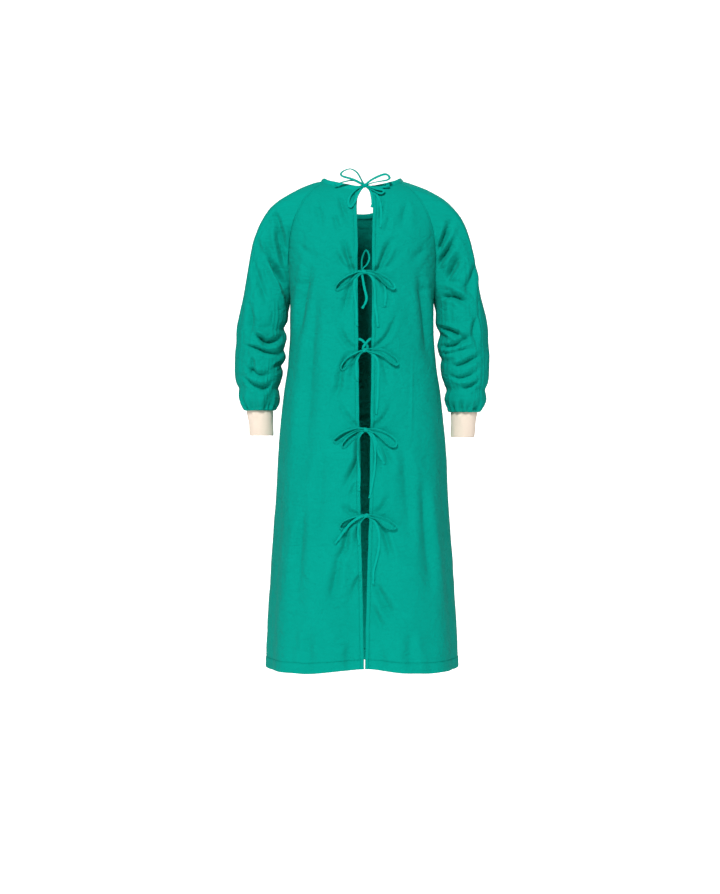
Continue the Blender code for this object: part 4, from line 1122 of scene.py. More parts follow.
CUFF_ANGLES = 264
CUFF_RIBS = 66
CUFF_ROWS = 30
RIB_HEIGHT = 0.00038
CUFF_WALL = 0.0020
CUFF_RADIUS = 0.03
CUFF_TUCK = 0.0015
RIB_WANDER = 0.5
CUFF_SWELL = 0.0007
CUFF_ROUND = 0.0009
CUFF_ROUND_SHARE = 0.035
CUFF_INSET = 0.0012
CUFF_INSET_SHARE = 0.05
CUFF_UNEVEN = 0.0005


def add_cuff(side, finish):
    """A folded tube of rib knit, whose first rows lie inside the gathered sleeve."""
    angle = np.linspace(0, 2 * np.pi, CUFF_ANGLES, endpoint=False)
    curves = {name: column_curve(CUFF, name, "share") for name in CuffRing._fields[1:]}
    top = SLEEVE[-1].z - side.wrist_drop + CUFF_TUCK
    wave = Noise(91 + side.sign)
    rings, facings = [], []
    for share in np.linspace(0, 1, CUFF_ROWS):
        ribs = RIB_HEIGHT * np.cos(CUFF_RIBS * angle + RIB_WANDER * wave(angle * 2, share * 3))
        swell = CUFF_SWELL * wave(angle * 1.6 + 9, share * 2.2)
        rounded = CUFF_ROUND * (1 - ease((1 - share) / CUFF_ROUND_SHARE))
        inset = CUFF_INSET * bell(share, CUFF_INSET_SHARE)
        grown = ribs + swell - rounded - inset
        ring = {name: curve(share) for name, curve in curves.items()}
        rings.append(np.stack([
            side.sign * (ring["x"] - (ring["half_width"] + grown) * np.cos(angle)),
            ring["y"] - (ring["half_depth"] + grown) * np.sin(angle),
            top - (CUFF_LENGTH + CUFF_TUCK) * share + CUFF_UNEVEN * wave(angle * 2.5, 4.4),
        ], axis=1))
        facings.append(np.stack([-side.sign * np.cos(angle), -np.sin(angle), 0 * angle], axis=1))
    outer, outward = np.array(rings), np.array(facings)
    flat = side_by_side(angle[None, :] * CUFF_RADIUS, outer[..., 2])
    made, _ = add_shell(
        f"cuff_{side.name}_knit", outer, np.full(outer.shape[:2], CUFF_WALL), flat, outward,
        finish, closed=True, free=("bottom",),
    )
    return made


# The binding's section: how far each point is above the cloth's edge, as a share of the
# binding's height, and how far out from the cloth's face.
BindingPoint = namedtuple("BindingPoint", "up out")
BINDING_SECTION = rows_of(BindingPoint, (
    (-0.24, 0.0004),
    (-0.21, 0.0009),
    (-0.10, 0.0006),
    (0.10, 0.0010),
    (0.55, 0.0013),
    (0.85, 0.0010),
    (0.97, 0.0004),
    (1.00, -0.0004),
    (0.97, -0.0012),
    (0.85, -0.0018),
    (0.50, -0.0021),
    (0.05, -0.0018),
    (-0.22, -0.0015),
    (-0.24, -0.0009),
))
BINDING_STEP = 0.0022
BINDING_TURN_SMOOTHING = 14
BINDING_PLACE_SMOOTHING = 3
BINDING_PUCKER = 0.0004
BINDING_PUCKER_PITCH = 0.006
PUCKERED_FROM, PUCKERED_TO = 0.2, 0.9
BINDING_POINT_PITCH = 0.002
BINDING_END_SHARE = 0.5
BINDING_END_IN = 0.001
# Rows of the cloth that show which way is down and which way it faces
PANEL_DOWN_ROW = 4
SLEEVE_DOWN_ROW = 6
SLEEVE_FACING_ROW = 8


def add_binding(halves, sleeves, finish):
    """The folded strip round the neck, its ends drawn in to the first bow's knot."""
    line, down, facing = [], [], []
    for side in SIDES:
        back, front = halves[side.name, False], halves[side.name, True]
        _, outer, normals, strand = sleeves[side.name]
        over = (strand > SHOULDER_STRAND) & (strand < SHOULDER_STRAND + SHOULDER_STRANDS)
        back_cloth, front_cloth = cloth_of(back), cloth_of(front)
        run = [
            (back.outer[0, :back_cloth], back.outer[PANEL_DOWN_ROW, :back_cloth],
             back.normal[0]),
            (outer[0, over], outer[SLEEVE_DOWN_ROW, over], normals[SLEEVE_FACING_ROW, over]),
            (front.outer[0, :front_cloth][::-1],
             front.outer[PANEL_DOWN_ROW, :front_cloth][::-1], front.normal[0][::-1]),
        ]
        parts = [np.concatenate(part) for part in zip(*run)]
        line.append(parts[0])
        down.append(parts[1])
        facing.append(parts[2])
    line = np.concatenate([line[0], line[1][::-1][1:]])
    down = np.concatenate([down[0], down[1][::-1][1:]])
    facing = np.concatenate([facing[0], facing[1][::-1][1:]])
    along = unit(np.gradient(line, axis=0))
    up = line - down
    up = unit(up - along * (up * along).sum(-1, keepdims=True))
    up[:, 2] += SHOULDER_STAND * np.abs(facing[:, 2])
    aside = KNOT_HALF_WIDTH * BINDING_END_SHARE
    ends = [
        knot_place(1, 0.0) + np.array([side.sign * aside, BINDING_END_IN, 0]) for side in SIDES
    ]
    height = np.full((len(line), 1), BINDING_HEIGHT)
    stations = np.hstack([line, unit(up), unit(facing), height])
    upright_facing_back = [0, 0, 1, 0, -1, 0]
    first, last = (
        np.concatenate([
            end - [0, 0, BINDING_END_HEIGHT / 2], upright_facing_back, [BINDING_END_HEIGHT],
        ])
        for end in ends
    )
    stations = spaced_stations(np.vstack([first, stations, last]))
    place, up, facing = stations[:, :3], unit(stations[:, 3:6]), unit(stations[:, 6:9])
    facing = unit(facing - up * (facing * up).sum(-1, keepdims=True))
    height = stations[:, 9:]
    run = np.arange(len(place)) * BINDING_STEP
    pucker = BINDING_PUCKER * EDGE(run / BINDING_PUCKER_PITCH, 31.0)[:, None]
    rows = []
    for point in BINDING_SECTION:
        puckered = PUCKERED_FROM < point.up < PUCKERED_TO
        rows.append(place + up * point.up * height + facing * (point.out + pucker * puckered))
    flat = side_by_side(run[:, None], np.arange(len(BINDING_SECTION)) * BINDING_POINT_PITCH)
    return add_tube("neck_binding_strip", np.stack(rows, axis=1), finish, flat, "binding")


def cloth_of(panel):
    """How many of a panel's columns are cloth that shows, without its flange."""
    return panel.outer.shape[1] - 2


def spaced_stations(stations):
    """The stations evenly spaced along the neck, and their directions smoothed."""
    run = run_along(stations[:, :3])
    even = np.linspace(0, run[-1], round(run[-1] / BINDING_STEP))
    made = at_places(stations, run, even)
    smoothed(made[:, 3:], BINDING_TURN_SMOOTHING)
    smoothed(made[:, :3], BINDING_PLACE_SMOOTHING)
    return made


# The bows. Each tape comes from one edge of the back, or from an end of the neck
# binding, turns as a loop and ends as a tail. A route's points are millimetres to the
# right of the knot, above it, and off the gown's form.
Bow = namedtuple("Bow", "x z")
Tape = namedtuple("Tape", "node bow edge lead loop tail")
BOWS = {
    1: Bow(0.0064, -0.0270),
    2: Bow(0.0043, -0.2358),
    3: Bow(0.0062, -0.4204),
    4: Bow(0.0081, -0.6081),
    5: Bow(0.0090, -0.8097),
}
TAPES = (
    Tape(
        "tie_1_left", 1, None, (),
        ((-3, 2, 3), (-9, 13, 5), (-18, 28, 6), (-33, 36, 7), (-49, 31, 8), (-57, 23, 8),
         (-51, 18, 7), (-28, 12, 6), (-12, 5, 5), (-4, 0, 3)),
        ((-4, 0, 3), (-16, 7, 3.2), (-30, 12, 2.6), (-52, 8, 2.4), (-72, 1, 2.6)),
    ),
    Tape(
        "tie_1_left", 1, None, (),
        ((-3, -2, 3), (-12, -6, 4.5), (-21, -11, 5), (-34, -25, 5), (-39, -42, 5),
         (-34, -55, 5), (-24, -42, 5), (-17, -24, 5), (-9, -10, 4.5), (-3, -3, 3)),
        (),
    ),
    Tape(
        "tie_1_right", 1, None, (),
        ((3, 2, 3), (10, 7, 5), (22, 14, 6), (39, 21, 7), (51, 23, 7), (59, 15, 7),
         (53, 10, 6), (37, 8, 5), (18, 4, 5), (4, 0, 3)),
        ((4, -1, 3), (14, -4, 2.4), (26, -6, 2.0), (44, -3, 2.2), (59, 0, 2.8)),
    ),
    Tape(
        "tie_1_right", 1, None, (),
        ((3, -2, 3), (14, -5, 5), (25, -10, 6), (35, -13, 7), (43, -14, 7), (45, -19, 7),
         (37, -23, 6), (26, -17, 5), (13, -9, 4.5), (3, -3, 3)),
        ((3, -3, 2), (10, -7, 1.6), (15, -18, 1.6), (18, -40, 2.0), (16, -55, 2.4)),
    ),
    Tape(
        "tie_1_right", 1, None, (), (),
        ((4, -2, 2), (19, -12, 1.6), (29, -25, 1.6), (37, -47, 1.7), (39, -80, 1.8),
         (36, -104, 1.8)),
    ),
    Tape(
        "tie_2_left", 2, -1, ((-5, 1, 0.5),),
        ((-3, 0, 3), (-12, 0, 4.5), (-22, -3, 5), (-40, -11, 6), (-57, -24, 6),
         (-66, -38, 6), (-61, -43, 5), (-46, -36, 5), (-32, -23, 5), (-18, -9, 4.5),
         (-4, -2, 3)),
        ((-4, -2, 2), (-12, -7, 1.8), (-20, -17, 1.7), (-23, -31, 1.7), (-21, -57, 1.8),
         (-18, -85, 1.8), (-16, -128, 1.8)),
    ),
    Tape(
        "tie_2_left", 2, None, (),
        ((-5, 2, 3), (-5, 12, 4), (-5, 26, 5), (-1, 40, 6), (5, 50, 7), (11, 41, 6),
         (12, 28, 5), (6, 15, 4), (-2, 8, 4), (-4, 1, 3)),
        ((-4, -2, 0), (-4, -10, 0), (1, -38, 0), (6, -65, 0.5), (-4, -87, 0)),
    ),
    Tape(
        "tie_2_right", 2, 1, ((5, 1, 0.5),),
        ((3, 1, 3), (14, 2, 4.5), (28, -2, 5), (48, -11, 6), (64, -24, 6), (71, -37, 6),
         (66, -41, 5), (54, -33, 5), (44, -23, 5), (29, -9, 4.5), (4, -1, 3)),
        ((4, -2, 2), (14, -7, 1.8), (22, -20, 1.7), (25, -40, 1.7), (26, -76, 1.8),
         (30, -102, 1.8), (33, -130, 1.8)),
    ),
    Tape(
        "tie_2_right", 2, None, (), (),
        ((4, -1, 2), (20, -6, 1.8), (37, -16, 1.8), (47, -31, 1.7), (51, -50, 1.7),
         (50, -69, 1.8), (48, -83, 1.8)),
    ),
    Tape(
        "tie_3_left", 3, -1, ((-9, 25, -0.7), (2, 15, -0.6), (7, 8, 0), (5, 2, 1)),
        ((3, 1, 3), (14, 3, 4.5), (33, 3, 5), (51, -4, 6), (68, -16, 6), (77, -29, 6),
         (73, -36, 5), (58, -28, 5), (44, -15, 5), (27, -7, 4.5), (4, -1, 3)),
        ((4, -1, 2), (12, -5, 1.8), (22, -12, 1.7), (30, -26, 1.7), (32, -48, 1.8),
         (31, -75, 1.8), (30, -115, 1.8), (27, -152, 1.8)),
    ),
    Tape(
        "tie_3_right", 3, 1, ((12, 26, 0.4), (2, 15, 1.6), (-4, 7, 1.5), (-4, 2, 1)),
        ((-3, 0, 3), (-11, -2, 4.5), (-22, -7, 5), (-39, -17, 6), (-53, -31, 6),
         (-57, -42, 6), (-50, -46, 5), (-41, -40, 5), (-28, -27, 5), (-14, -11, 4.5),
         (-4, -2, 3)),
        ((-4, -2, 2), (-12, -9, 1.8), (-18, -22, 1.7), (-20, -40, 1.8), (-18, -73, 1.8)),
    ),
    Tape(
        "tie_4_left", 4, -1, ((-5, 1, 0.5),),
        ((-3, 2, 3), (-13, 4, 5.5), (-29, 2, 7), (-50, -5, 8), (-66, -16, 8),
         (-75, -26, 7), (-69, -30, 6), (-56, -23, 6), (-38, -10, 6), (-18, -1, 5.5),
         (-4, 1, 3)),
        ((-3, -2, 2), (-10, -8, 1.8), (-17, -20, 1.7), (-19, -41, 1.7), (-17, -65, 1.8),
         (-15, -95, 1.8), (-15, -145, 1.8)),
    ),
    Tape(
        "tie_4_left", 4, None, (),
        ((-3, -1, 3), (-12, -2, 4.5), (-23, -6, 5), (-41, -17, 5), (-53, -31, 5),
         (-55, -41, 5), (-48, -41, 5), (-40, -33, 5), (-28, -21, 5), (-14, -8, 4.5),
         (-4, -2, 3)),
        (),
    ),
    Tape(
        "tie_4_right", 4, 1, ((5, 1, 0.5),),
        ((3, 1, 3), (13, 2, 4.5), (28, 0, 5), (46, -7, 6), (63, -18, 6), (71, -31, 6),
         (68, -40, 5), (59, -40, 5), (49, -33, 5), (37, -20, 5), (23, -8, 4.5),
         (4, -1, 3)),
        ((4, -1, 2), (11, -5, 3.4), (19, -15, 3.4), (25, -31, 3.4), (28, -49, 2.4),
         (34, -63, 1.8), (44, -81, 1.8)),
    ),
    Tape(
        "tie_4_right", 4, None, (), (),
        ((3, -3, 1.5), (10, -9, 1.6), (18, -24, 1.6), (22, -46, 1.6), (21, -92, 1.7),
         (17, -118, 1.7), (12, -145, 1.4), (9, -161, 1.1)),
    ),
    Tape(
        "tie_5_left", 5, -1, ((-5, 1, 0.5),),
        ((-3, 1, 3), (-13, 0, 4.5), (-30, -4, 5), (-48, -11, 6), (-59, -21, 6),
         (-61, -29, 6), (-54, -31, 5), (-44, -25, 5), (-31, -15, 5), (-17, -6, 4.5),
         (-4, -1, 3)),
        ((-3, -3, 2), (-9, -8, 1.8), (-16, -20, 1.7), (-18, -42, 1.8), (-16, -69, 1.8)),
    ),
    Tape(
        "tie_5_left", 5, None, (), (),
        ((-4, 0, 4), (-13, -3, 8.5), (-24, -9, 9.6), (-38, -20, 9.6), (-54, -39, 7),
         (-65, -55, 4), (-74, -66, 2.2)),
    ),
    Tape(
        "tie_5_right", 5, 1, ((5, 1, 0.5),),
        ((3, 1, 3), (13, 1, 4.5), (28, -1, 5), (48, -9, 6), (64, -20, 6), (69, -28, 6),
         (62, -32, 5), (48, -29, 5), (35, -18, 5), (24, -8, 4.5), (4, -1, 3)),
        ((4, -1, 2), (12, -7, 1.8), (21, -15, 1.7), (28, -31, 1.7), (32, -51, 1.8),
         (31, -78, 2.2), (24, -114, 2.8), (20, -130, 3.0), (20, -161, 3.2)),
    ),
)
TAPE_HALF_THICKNESS = 0.00035
TAPE_STEP = 0.0016
TAPE_SMOOTHING = 4
TAPE_SECTION_POINTS = 10
LOOP_TURN = 54
NECK_LOOP_TURN = 14
TAIL_TURN = 8
TAPE_INSIDE_EDGE = 0.005
TAPE_UNDER_CLOTH = 0.0016
TAPE_TWIST = 16
TAPE_TWIST_LENGTH = 0.030
TAPE_UNEVEN = 0.07
TAPE_UNEVEN_LENGTH = 0.011
TAPE_CUP = 0.0004
TAPE_CUP_LENGTH = 0.020
TAPE_SQUARENESS = 0.55
TAPE_FACE_SQUARENESS = 0.75
END_KNOT_RADIUS = 0.0029
END_KNOT_FROM_TIP = 0.0045
END_KNOT_LENGTH = 0.0024
END_KNOT_DEPTH_SHARE = 0.85
NECK_OF_KNOT = 0.0052
NECK_OF_KNOT_SHARE = 0.35


def back_face(x, z):
    """The worn cloth's face on the back, and the form's outward normal. Above the neck
    edge it goes straight up."""
    low = np.minimum(z, BACK_NECK_Z)
    angle = angle_at(x, low, False)
    point, normal = form(angle, low), form_normal(angle, low)
    point = point + normal * body_height(point, angle, low, False)[:, None]
    point[:, 2] += z - low
    return point, normal


def knot_place(number, lift):
    point, normal = back_face(np.array([BOWS[number].x]), np.array([BOWS[number].z]))
    return point[0] + normal[0] * lift


def route_places(bow, route):
    """A route's places in the gown's frame, with lift measured off the worn cloth."""
    right, above, lift = (np.array(column) / 1000 for column in zip(*route))
    point, normal = back_face(BOWS[bow].x + right, BOWS[bow].z + above)
    return point + normal * lift[:, None]


def tape_path(tape):
    """The tape's line from its start to its tip, and how far it is turned on edge."""
    places, turns = [], []
    if tape.edge is not None:
        first_z = BOWS[tape.bow].z + tape.lead[0][1] / 1000
        inside = slit_edge(first_z, tape.edge) + tape.edge * TAPE_INSIDE_EDGE
        point, normal = back_face(np.array([inside]), np.array([first_z]))
        places.append(point - normal * TAPE_UNDER_CLOTH)
        turns.append([0])
    loop_turn = NECK_LOOP_TURN if tape.bow == 1 else LOOP_TURN
    for route, turn in ((tape.lead, 0), (tape.loop, loop_turn), (tape.tail, TAIL_TURN)):
        if route:
            places.append(route_places(tape.bow, route))
            turns.append([turn] * len(route))
    line = np.hstack([np.concatenate(places), np.concatenate(turns)[:, None]])
    fine = curve_through(line, TAPE_STEP / 4)
    run = run_along(fine[:, :3])
    even = np.linspace(0, run[-1], round(run[-1] / TAPE_STEP) + 1)
    path = smoothed(at_places(fine, run, even), TAPE_SMOOTHING)
    return path[:, :3], path[:, 3]


def add_tape(name, tape, finish):
    """One woven tape, with the small knot that keeps its tip from fraying."""
    path, turn = tape_path(tape)
    run = np.arange(len(path)) * TAPE_STEP
    wander = Noise(sum(map(ord, name)))
    turn = np.radians(turn + TAPE_TWIST * wander(run / TAPE_TWIST_LENGTH, 2.2))
    way = unit(np.gradient(path, axis=0))
    _, normal = back_face(path[:, 0], path[:, 2])
    across = unit(np.cross(way, normal))
    face = np.cross(way, across)
    across = across * np.cos(turn)[:, None] + face * np.sin(turn)[:, None]
    face = np.cross(way, across)
    uneven = 1 + TAPE_UNEVEN * wander(run / TAPE_UNEVEN_LENGTH, 7.7)
    half = np.full(len(path), TIE_WIDTH / 2) * uneven
    thick = np.full(len(path), TAPE_HALF_THICKNESS)
    from_tip = run[-1] - run
    if tape.tail:
        knotted = bell(from_tip - END_KNOT_FROM_TIP, END_KNOT_LENGTH)
        half = half + (END_KNOT_RADIUS - half) * knotted
        thick = thick + (END_KNOT_RADIUS * END_KNOT_DEPTH_SHARE - thick) * knotted
        before = bell(from_tip - END_KNOT_FROM_TIP - NECK_OF_KNOT, END_KNOT_LENGTH)
        half = half * (1 - NECK_OF_KNOT_SHARE * before)
    angles = 2 * np.pi * np.arange(TAPE_SECTION_POINTS) / TAPE_SECTION_POINTS
    wide = np.sign(np.cos(angles)) * np.abs(np.cos(angles)) ** TAPE_SQUARENESS
    deep = np.sign(np.sin(angles)) * np.abs(np.sin(angles)) ** TAPE_FACE_SQUARENESS
    cupped = TAPE_CUP * wander(run / TAPE_CUP_LENGTH, 14.9)[:, None] * (wide[None, :] ** 2 - 0.5)
    grid = (
        path[:, None] + across[:, None] * (half[:, None] * wide)[..., None]
        + face[:, None] * (thick[:, None] * deep + cupped)[..., None]
    )
    flat = side_by_side(wide[None, :] * half[:, None], run[:, None])
    made = add_tube(name, grid, finish, flat, "tape")
    return made


KNOT_RINGS = 22
KNOT_POINTS = 28
KNOT_WRAPS = 3.2
WRAP_HEIGHT = 0.00055
KNOT_LIFT = 0.002
KNOT_LEANS = (-0.4, 0.5)
KNOT_ROUNDNESS = 2.6
KNOT_LEAST_SIZE = 0.03
KNOT_WIDTH_SHARE = 0.86
KNOT_UNEVEN = 0.05
KNOT_LEAN_SHARE = 0.3
KNOT_LEAN_RISE = 0.0016
WRAP_STRENGTH = 1.6


def add_knot(number, finish):
    """A bow's knot: tape wound round the crossing of its strands."""
    centre = knot_place(number, KNOT_LIFT)
    turn = 2 * np.pi * np.arange(KNOT_POINTS) / KNOT_POINTS
    lean = KNOT_LEANS[number % 2]
    uneven = KNOT_UNEVEN * np.sin(turn * 2 + number)
    rows = []
    for share in np.linspace(-1, 1, KNOT_RINGS):
        size = max(KNOT_LEAST_SIZE, 1 - abs(share) ** KNOT_ROUNDNESS) ** 0.5
        wrap = np.cos(2 * np.pi * KNOT_WRAPS * share / 2 + turn + number)
        swell = 1 + WRAP_HEIGHT / KNOT_HALF_DEPTH * WRAP_STRENGTH * (np.abs(wrap) - 0.5)
        rows.append(centre + np.stack([
            KNOT_HALF_WIDTH * (KNOT_WIDTH_SHARE + uneven) * share
            + lean * KNOT_HALF_HEIGHT * KNOT_LEAN_SHARE * np.sin(turn),
            -KNOT_HALF_DEPTH * size * swell * np.cos(turn),
            KNOT_HALF_HEIGHT * size * swell * np.sin(turn) + lean * KNOT_LEAN_RISE * share,
        ], axis=1))
    order = np.arange(KNOT_RINGS * KNOT_POINTS).reshape(KNOT_RINGS, KNOT_POINTS)
    flat = side_by_side(turn[None, :] * 0.005, order * 0.0001)
    return add_tube(f"bow_{number}_knot", np.array(rows), finish, flat, "tape")


def add_stitches(name, lines, finish):
    """Rows of short threads that lie on the cloth. A line is its points and normals."""
    points, faces = [], []
    for place, normal in lines:
        run = run_along(place)
        even = np.arange(STITCH_PITCH, run[-1] - STITCH_PITCH, STITCH_PITCH)
        at = at_places(np.hstack([place, normal]), run, even)
        centre, facing = at[:, :3], unit(at[:, 3:])
        way = unit(np.gradient(centre, axis=0))
        across = unit(np.cross(way, facing))
        for c, w, a, f in zip(centre, way, across, facing):
            first = len(points)
            for end, size in STITCH_RINGS:
                rise = STITCH_SINK if size == 0 else STITCH_RISE
                foot = c + w * end * STITCH_LENGTH + f * rise
                if size == 0:
                    points.append(foot)
                    continue
                for k in range(4):
                    turn = math.pi / 4 + math.pi / 2 * k
                    points.append(foot + (a * math.cos(turn) + f * math.sin(turn)) * STITCH_RADIUS)
            for k in range(4):
                after = (k + 1) % 4
                faces.append((first, first + 1 + after, first + 1 + k))
                faces.append((first + 1 + k, first + 1 + after, first + 5 + after, first + 5 + k))
                faces.append((first + 9, first + 5 + k, first + 5 + after))
    return mesh_object(name, [tuple(p) for p in points], faces, finish, None, "gown_cloth")


def new_material(name, colour, roughness, sheen):
    """A material's tree, its links and its surface shader."""
    made = bpy.data.materials.new(name)
    made.use_nodes = True
    tree = made.node_tree
    surface = tree.nodes["Principled BSDF"]
    surface.inputs["Base Color"].default_value = (*colour, 1)
    surface.inputs["Roughness"].default_value = roughness
    surface.inputs["Specular IOR Level"].default_value = SPECULAR_LEVEL
    surface.inputs["Sheen Weight"].default_value = sheen
    surface.inputs["Sheen Roughness"].default_value = SHEEN_ROUGHNESS
    return made, tree, surface


def texture(tree, kind, place, **settings):
    node = tree.nodes.new(kind)
    for key, value in settings.items():
        if key in node.inputs:
            node.inputs[key].default_value = value
        else:
            setattr(node, key, value)
    tree.links.new(place, node.inputs["Vector"])
    return node


def stretched(tree, place, scale):
    mapping = tree.nodes.new("ShaderNodeMapping")
    mapping.inputs["Scale"].default_value = scale
    tree.links.new(place, mapping.inputs["Vector"])
    return mapping.outputs["Vector"]


def add_bump(tree, surface, heights):
    """Bumps laid over each other. Each is a height's socket, its strength and its depth."""
    below = None
    for socket, strength, depth in heights:
        bump = tree.nodes.new("ShaderNodeBump")
        bump.inputs["Strength"].default_value = strength
        bump.inputs["Distance"].default_value = depth
        tree.links.new(socket, bump.inputs["Height"])
        if below is not None:
            tree.links.new(below, bump.inputs["Normal"])
        below = bump.outputs["Normal"]
    tree.links.new(below, surface.inputs["Normal"])


def mixed_colour(tree, surface, share, first, second):
    mix = tree.nodes.new("ShaderNodeMix")
    mix.data_type = "RGBA"
    colours = [socket for socket in mix.inputs if socket.type == "RGBA"]
    colours[0].default_value = (*first, 1)
    colours[1].default_value = (*second, 1)
    tree.links.new(share, mix.inputs["Factor"])
    result = [socket for socket in mix.outputs if socket.type == "RGBA"][0]
    tree.links.new(result, surface.inputs["Base Color"])


# At a scale of 1, a wave texture goes through this many radians in a metre.
WAVE_RADIANS = 20
FULL_TURN = 6.28


def weave_height(tree, place, pitch):
    """Threads over and under each other: two sets of bands that cross."""
    bands = []
    for direction in ("X", "Y"):
        wave = texture(
            tree, "ShaderNodeTexWave", place, wave_type="BANDS", bands_direction=direction,
            Scale=1 / (WAVE_RADIANS * pitch) * FULL_TURN, Distortion=0.6, Detail=1.0,
        )
        bands.append(wave.outputs["Fac"])
    product = tree.nodes.new("ShaderNodeMath")
    product.operation = "MULTIPLY"
    tree.links.new(bands[0], product.inputs[0])
    tree.links.new(bands[1], product.inputs[1])
    return product.outputs["Value"]


def cloth_place(tree):
    place = tree.nodes.new("ShaderNodeUVMap")
    place.uv_map = "cloth"
    return place.outputs["UV"]


SPECULAR_LEVEL = 0.015
SHEEN_ROUGHNESS = 0.55
WEAVE_PITCH = 0.0005
KNIT_PITCH = 0.0011
TAPE_PITCH = 0.0007
GREEN_LIGHT = (0.0006, 0.310, 0.243)
GREEN_DEEP = (0.0004, 0.250, 0.193)
TAPE_LIGHT = (0.0008, 0.345, 0.275)
TAPE_DEEP = (0.0005, 0.285, 0.222)
THREAD_GREEN = (0.0004, 0.170, 0.130)
THREAD_DEEP = (0.0003, 0.130, 0.099)
CREAM_LIGHT = (0.84, 0.72, 0.61)
CREAM_DEEP = (0.76, 0.64, 0.53)


def gown_cloth():
    """Plain-woven poly-cotton: matt, washed, with fine level crinkles."""
    made, tree, surface = new_material("gown_cloth", GREEN_LIGHT, 0.85, 0.01)
    place = cloth_place(tree)
    worn = texture(tree, "ShaderNodeTexNoise", place, Scale=9.0, Detail=6.0, Roughness=0.62)
    mixed_colour(tree, surface, worn.outputs["Fac"], GREEN_DEEP, GREEN_LIGHT)
    level = stretched(tree, place, (0.55, 1.6, 1.0))
    crinkle = texture(tree, "ShaderNodeTexNoise", level, Scale=62.0, Detail=5.0,
                      Roughness=0.58, Distortion=0.9)
    creased = texture(tree, "ShaderNodeTexNoise", place, Scale=26.0, Detail=4.0,
                      Roughness=0.5, Distortion=1.4)
    threads = weave_height(tree, place, WEAVE_PITCH)
    add_bump(tree, surface, (
        (creased.outputs["Fac"], 0.8, 0.0055),
        (crinkle.outputs["Fac"], 0.8, 0.0028),
        (threads, 0.25, 0.0001),
    ))
    return made


def tape_cloth(name):
    """Narrow woven tape, a little lighter than the cloth."""
    made, tree, surface = new_material(name, TAPE_LIGHT, 0.85, 0.01)
    place = cloth_place(tree)
    worn = texture(tree, "ShaderNodeTexNoise", place, Scale=60.0, Detail=4.0)
    mixed_colour(tree, surface, worn.outputs["Fac"], TAPE_DEEP, TAPE_LIGHT)
    threads = weave_height(tree, place, TAPE_PITCH)
    add_bump(tree, surface, (
        (worn.outputs["Fac"], 0.4, 0.0010),
        (threads, 0.4, 0.00015),
    ))
    return made


def cuff_knit():
    """Cream rib knit with fine stitches along its ribs."""
    made, tree, surface = new_material("cuff_knit", CREAM_LIGHT, 0.9, 0.05)
    place = cloth_place(tree)
    worn = texture(tree, "ShaderNodeTexNoise", place, Scale=45.0, Detail=4.0)
    mixed_colour(tree, surface, worn.outputs["Fac"], CREAM_DEEP, CREAM_LIGHT)
    stitches = weave_height(tree, place, KNIT_PITCH)
    add_bump(tree, surface, (
        (worn.outputs["Fac"], 0.35, 0.0010),
        (stitches, 0.5, 0.0003),
    ))
    return made


def sewing_thread():
    """Thread a little deeper than the cloth, and uneven in its dye along a seam."""
    made, tree, surface = new_material("thread", THREAD_GREEN, 0.8, 0.0)
    dye = tree.nodes.new("ShaderNodeTexNoise")
    dye.inputs["Scale"].default_value = 40.0
    mixed_colour(tree, surface, dye.outputs["Fac"], THREAD_DEEP, THREAD_GREEN)
    return made


FLOOR_Z = -1.615
CAMERA_PLACE = (-0.005, -5.2, -0.6486)
CAMERA_LENS = 86.54
BACKDROP_FRONT_Y = -2.6
BACKDROP_BEND_Y = 6.1
BACKDROP_RADIUS = 1.1
BACKDROP_HALF_WIDTH = 2.7
BACKDROP_TOP_Z = 2.6
BACKDROP_STEPS = 25
WHITE = (0.90, 0.90, 0.90)

Light = namedtuple("Light", "name place size power")
LIGHTS = rows_of(Light, (
    ("key", (-0.9, -4.7, 3.2), 1.0, 350.0),
    ("fill", (2.6, -3.4, 0.6), 1.6, 5.0),
    ("far", (1.6, 5.2, 2.4), 1.2, 150.0),
))
WORLD_STRENGTH = 0.24
BACKDROP_GLOW = 0.68
AIM = (0.0, 0.0, -0.6)


def add_camera():
    data = bpy.data.cameras.new("camera")
    data.lens = CAMERA_LENS
    made = bpy.data.objects.new("camera", data)
    made.location = CAMERA_PLACE
    made.rotation_euler = (math.pi / 2, 0, 0)
    bpy.context.scene.collection.objects.link(made)
    bpy.context.scene.camera = made


def add_backdrop():
    """A pale floor that bends up into a wall."""
    line = [(BACKDROP_FRONT_Y, FLOOR_Z)]
    for turn in np.linspace(0, np.pi / 2, BACKDROP_STEPS):
        line.append((
            BACKDROP_BEND_Y + BACKDROP_RADIUS * math.sin(turn),
            FLOOR_Z + BACKDROP_RADIUS * (1 - math.cos(turn)),
        ))
    line.append((BACKDROP_BEND_Y + BACKDROP_RADIUS, BACKDROP_TOP_Z))
    points = [(x, y, z) for y, z in line for x in (-BACKDROP_HALF_WIDTH, BACKDROP_HALF_WIDTH)]
    faces = [(2 * i, 2 * i + 1, 2 * i + 3, 2 * i + 2) for i in range(len(line) - 1)]
    finish, _, surface = new_material("backdrop_white", WHITE, 0.9, 0.0)
    surface.inputs["Emission Color"].default_value = (1, 1, 1, 1)
    surface.inputs["Emission Strength"].default_value = BACKDROP_GLOW
    made = mesh_object("backdrop", points, faces, finish)


def add_lights():
    for light in LIGHTS:
        data = bpy.data.lights.new(light.name, "AREA")
        data.size = light.size
        data.energy = light.power
        made = bpy.data.objects.new(light.name, data)
        made.location = light.place
        way = Vector(AIM) - Vector(light.place)
        made.rotation_euler = way.to_track_quat("-Z", "Y").to_euler()
        bpy.context.scene.collection.objects.link(made)
    world = bpy.data.worlds.new("world")
    world.use_nodes = True
    background = world.node_tree.nodes["Background"]
    background.inputs["Color"].default_value = (1, 1, 1, 1)
    background.inputs["Strength"].default_value = WORLD_STRENGTH
    bpy.context.scene.world = world
    bpy.context.scene.view_settings.view_transform = "Standard"


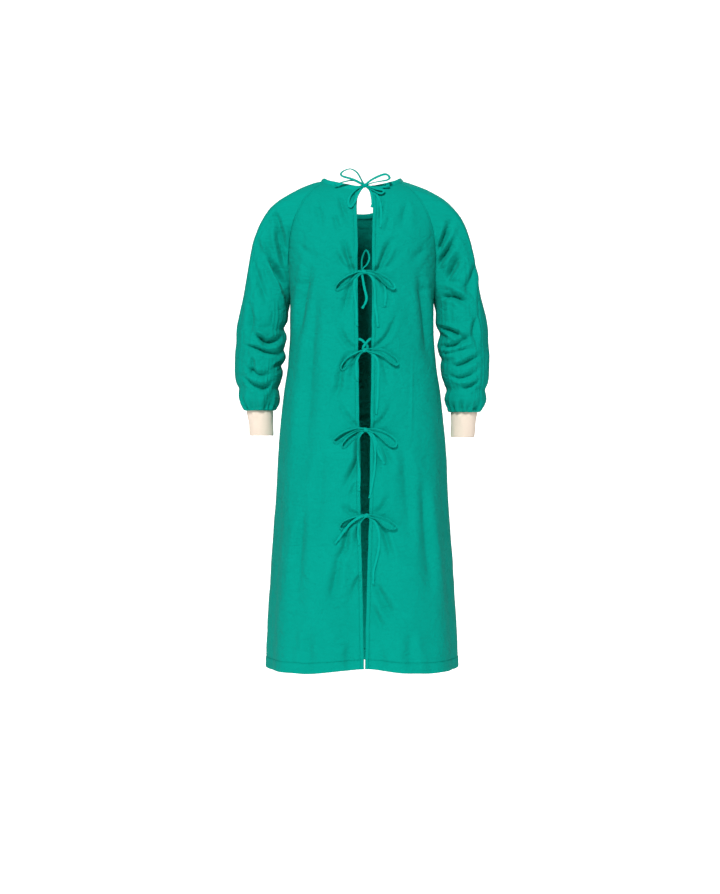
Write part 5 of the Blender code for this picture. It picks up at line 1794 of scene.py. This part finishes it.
def joined_front(left, right):
    """The front in one piece, from the left seam to the right one."""
    parts = []
    for a, b in zip(left, right):
        parts.append(np.concatenate([a[:, ::-1], b[:, 1:]], axis=1))
    return Panel(*parts)


def shown_line(panel, normals, column):
    return panel.outer[:, column], normals[:, column]


def main():
    add_camera()
    green, tape_green, binding_green = gown_cloth(), tape_cloth("tape"), tape_cloth("binding")
    thread, cream = sewing_thread(), cuff_knit()
    names = {}
    for tape in TAPES:
        names[tape.node] = names.get(tape.node, 0) + 1
        made = add_tape(f"{tape.node}_tape_{names[tape.node]}", tape, tape_green)
        if names[tape.node] == 1:
            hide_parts(tape.node)
    for number in BOWS:
        add_knot(number, tape_green)
    halves, stitched = {}, []
    for side in SIDES:
        for front in (False, True):
            halves[side.name, front] = panel_half(side, front, FRONT_STEP if front else BACK_STEP)
        panel = halves[side.name, False]
        name = f"back_{side.name}"
        made, normals = add_shell(
            f"{name}_cloth", panel.outer, panel.thickness, panel.flat, panel.normal, green,
            free=("start", "bottom"),
        )
        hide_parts(name)
        edge = FREE_EDGE.index(EDGE_STITCH)
        seam = -2 - len(SEAM_EDGE) + SEAM_EDGE.index(SEAM_STITCH)
        hem = int(np.abs(row_heights(BACK_STEP) - HEM_Z - HEM_STITCH).argmin())
        stitched.append(shown_line(panel, normals, edge))
        stitched.append((panel.outer[1:, seam], normals[1:, seam]))
        stitched.append((panel.outer[hem, edge:-2], normals[hem, edge:-2]))
    front = joined_front(halves["left", True], halves["right", True])
    made, normals = add_shell(
        "front_panel_cloth", front.outer, front.thickness, front.flat, front.normal, green,
        free=("bottom",),
    )
    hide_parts("front_panel")
    hem = int(np.abs(row_heights(FRONT_STEP) - HEM_Z - HEM_STITCH).argmin())
    stitched.append((front.outer[hem, 2:-2], normals[hem, 2:-2]))
    for column in (seam, -1 - seam):
        stitched.append((front.outer[1:, column], normals[1:, column]))
    sleeves = {}
    for side in SIDES:
        sleeves[side.name] = add_sleeve(side, green)
        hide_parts(f"sleeve_{side.name}")
        cuff = add_cuff(side, cream)
        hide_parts(f"cuff_{side.name}")
    binding = add_binding(halves, sleeves, binding_green)
    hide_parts("neck_binding")
    add_stitches("seam_stitching", stitched, thread)
    add_backdrop()
    add_lights()


main()
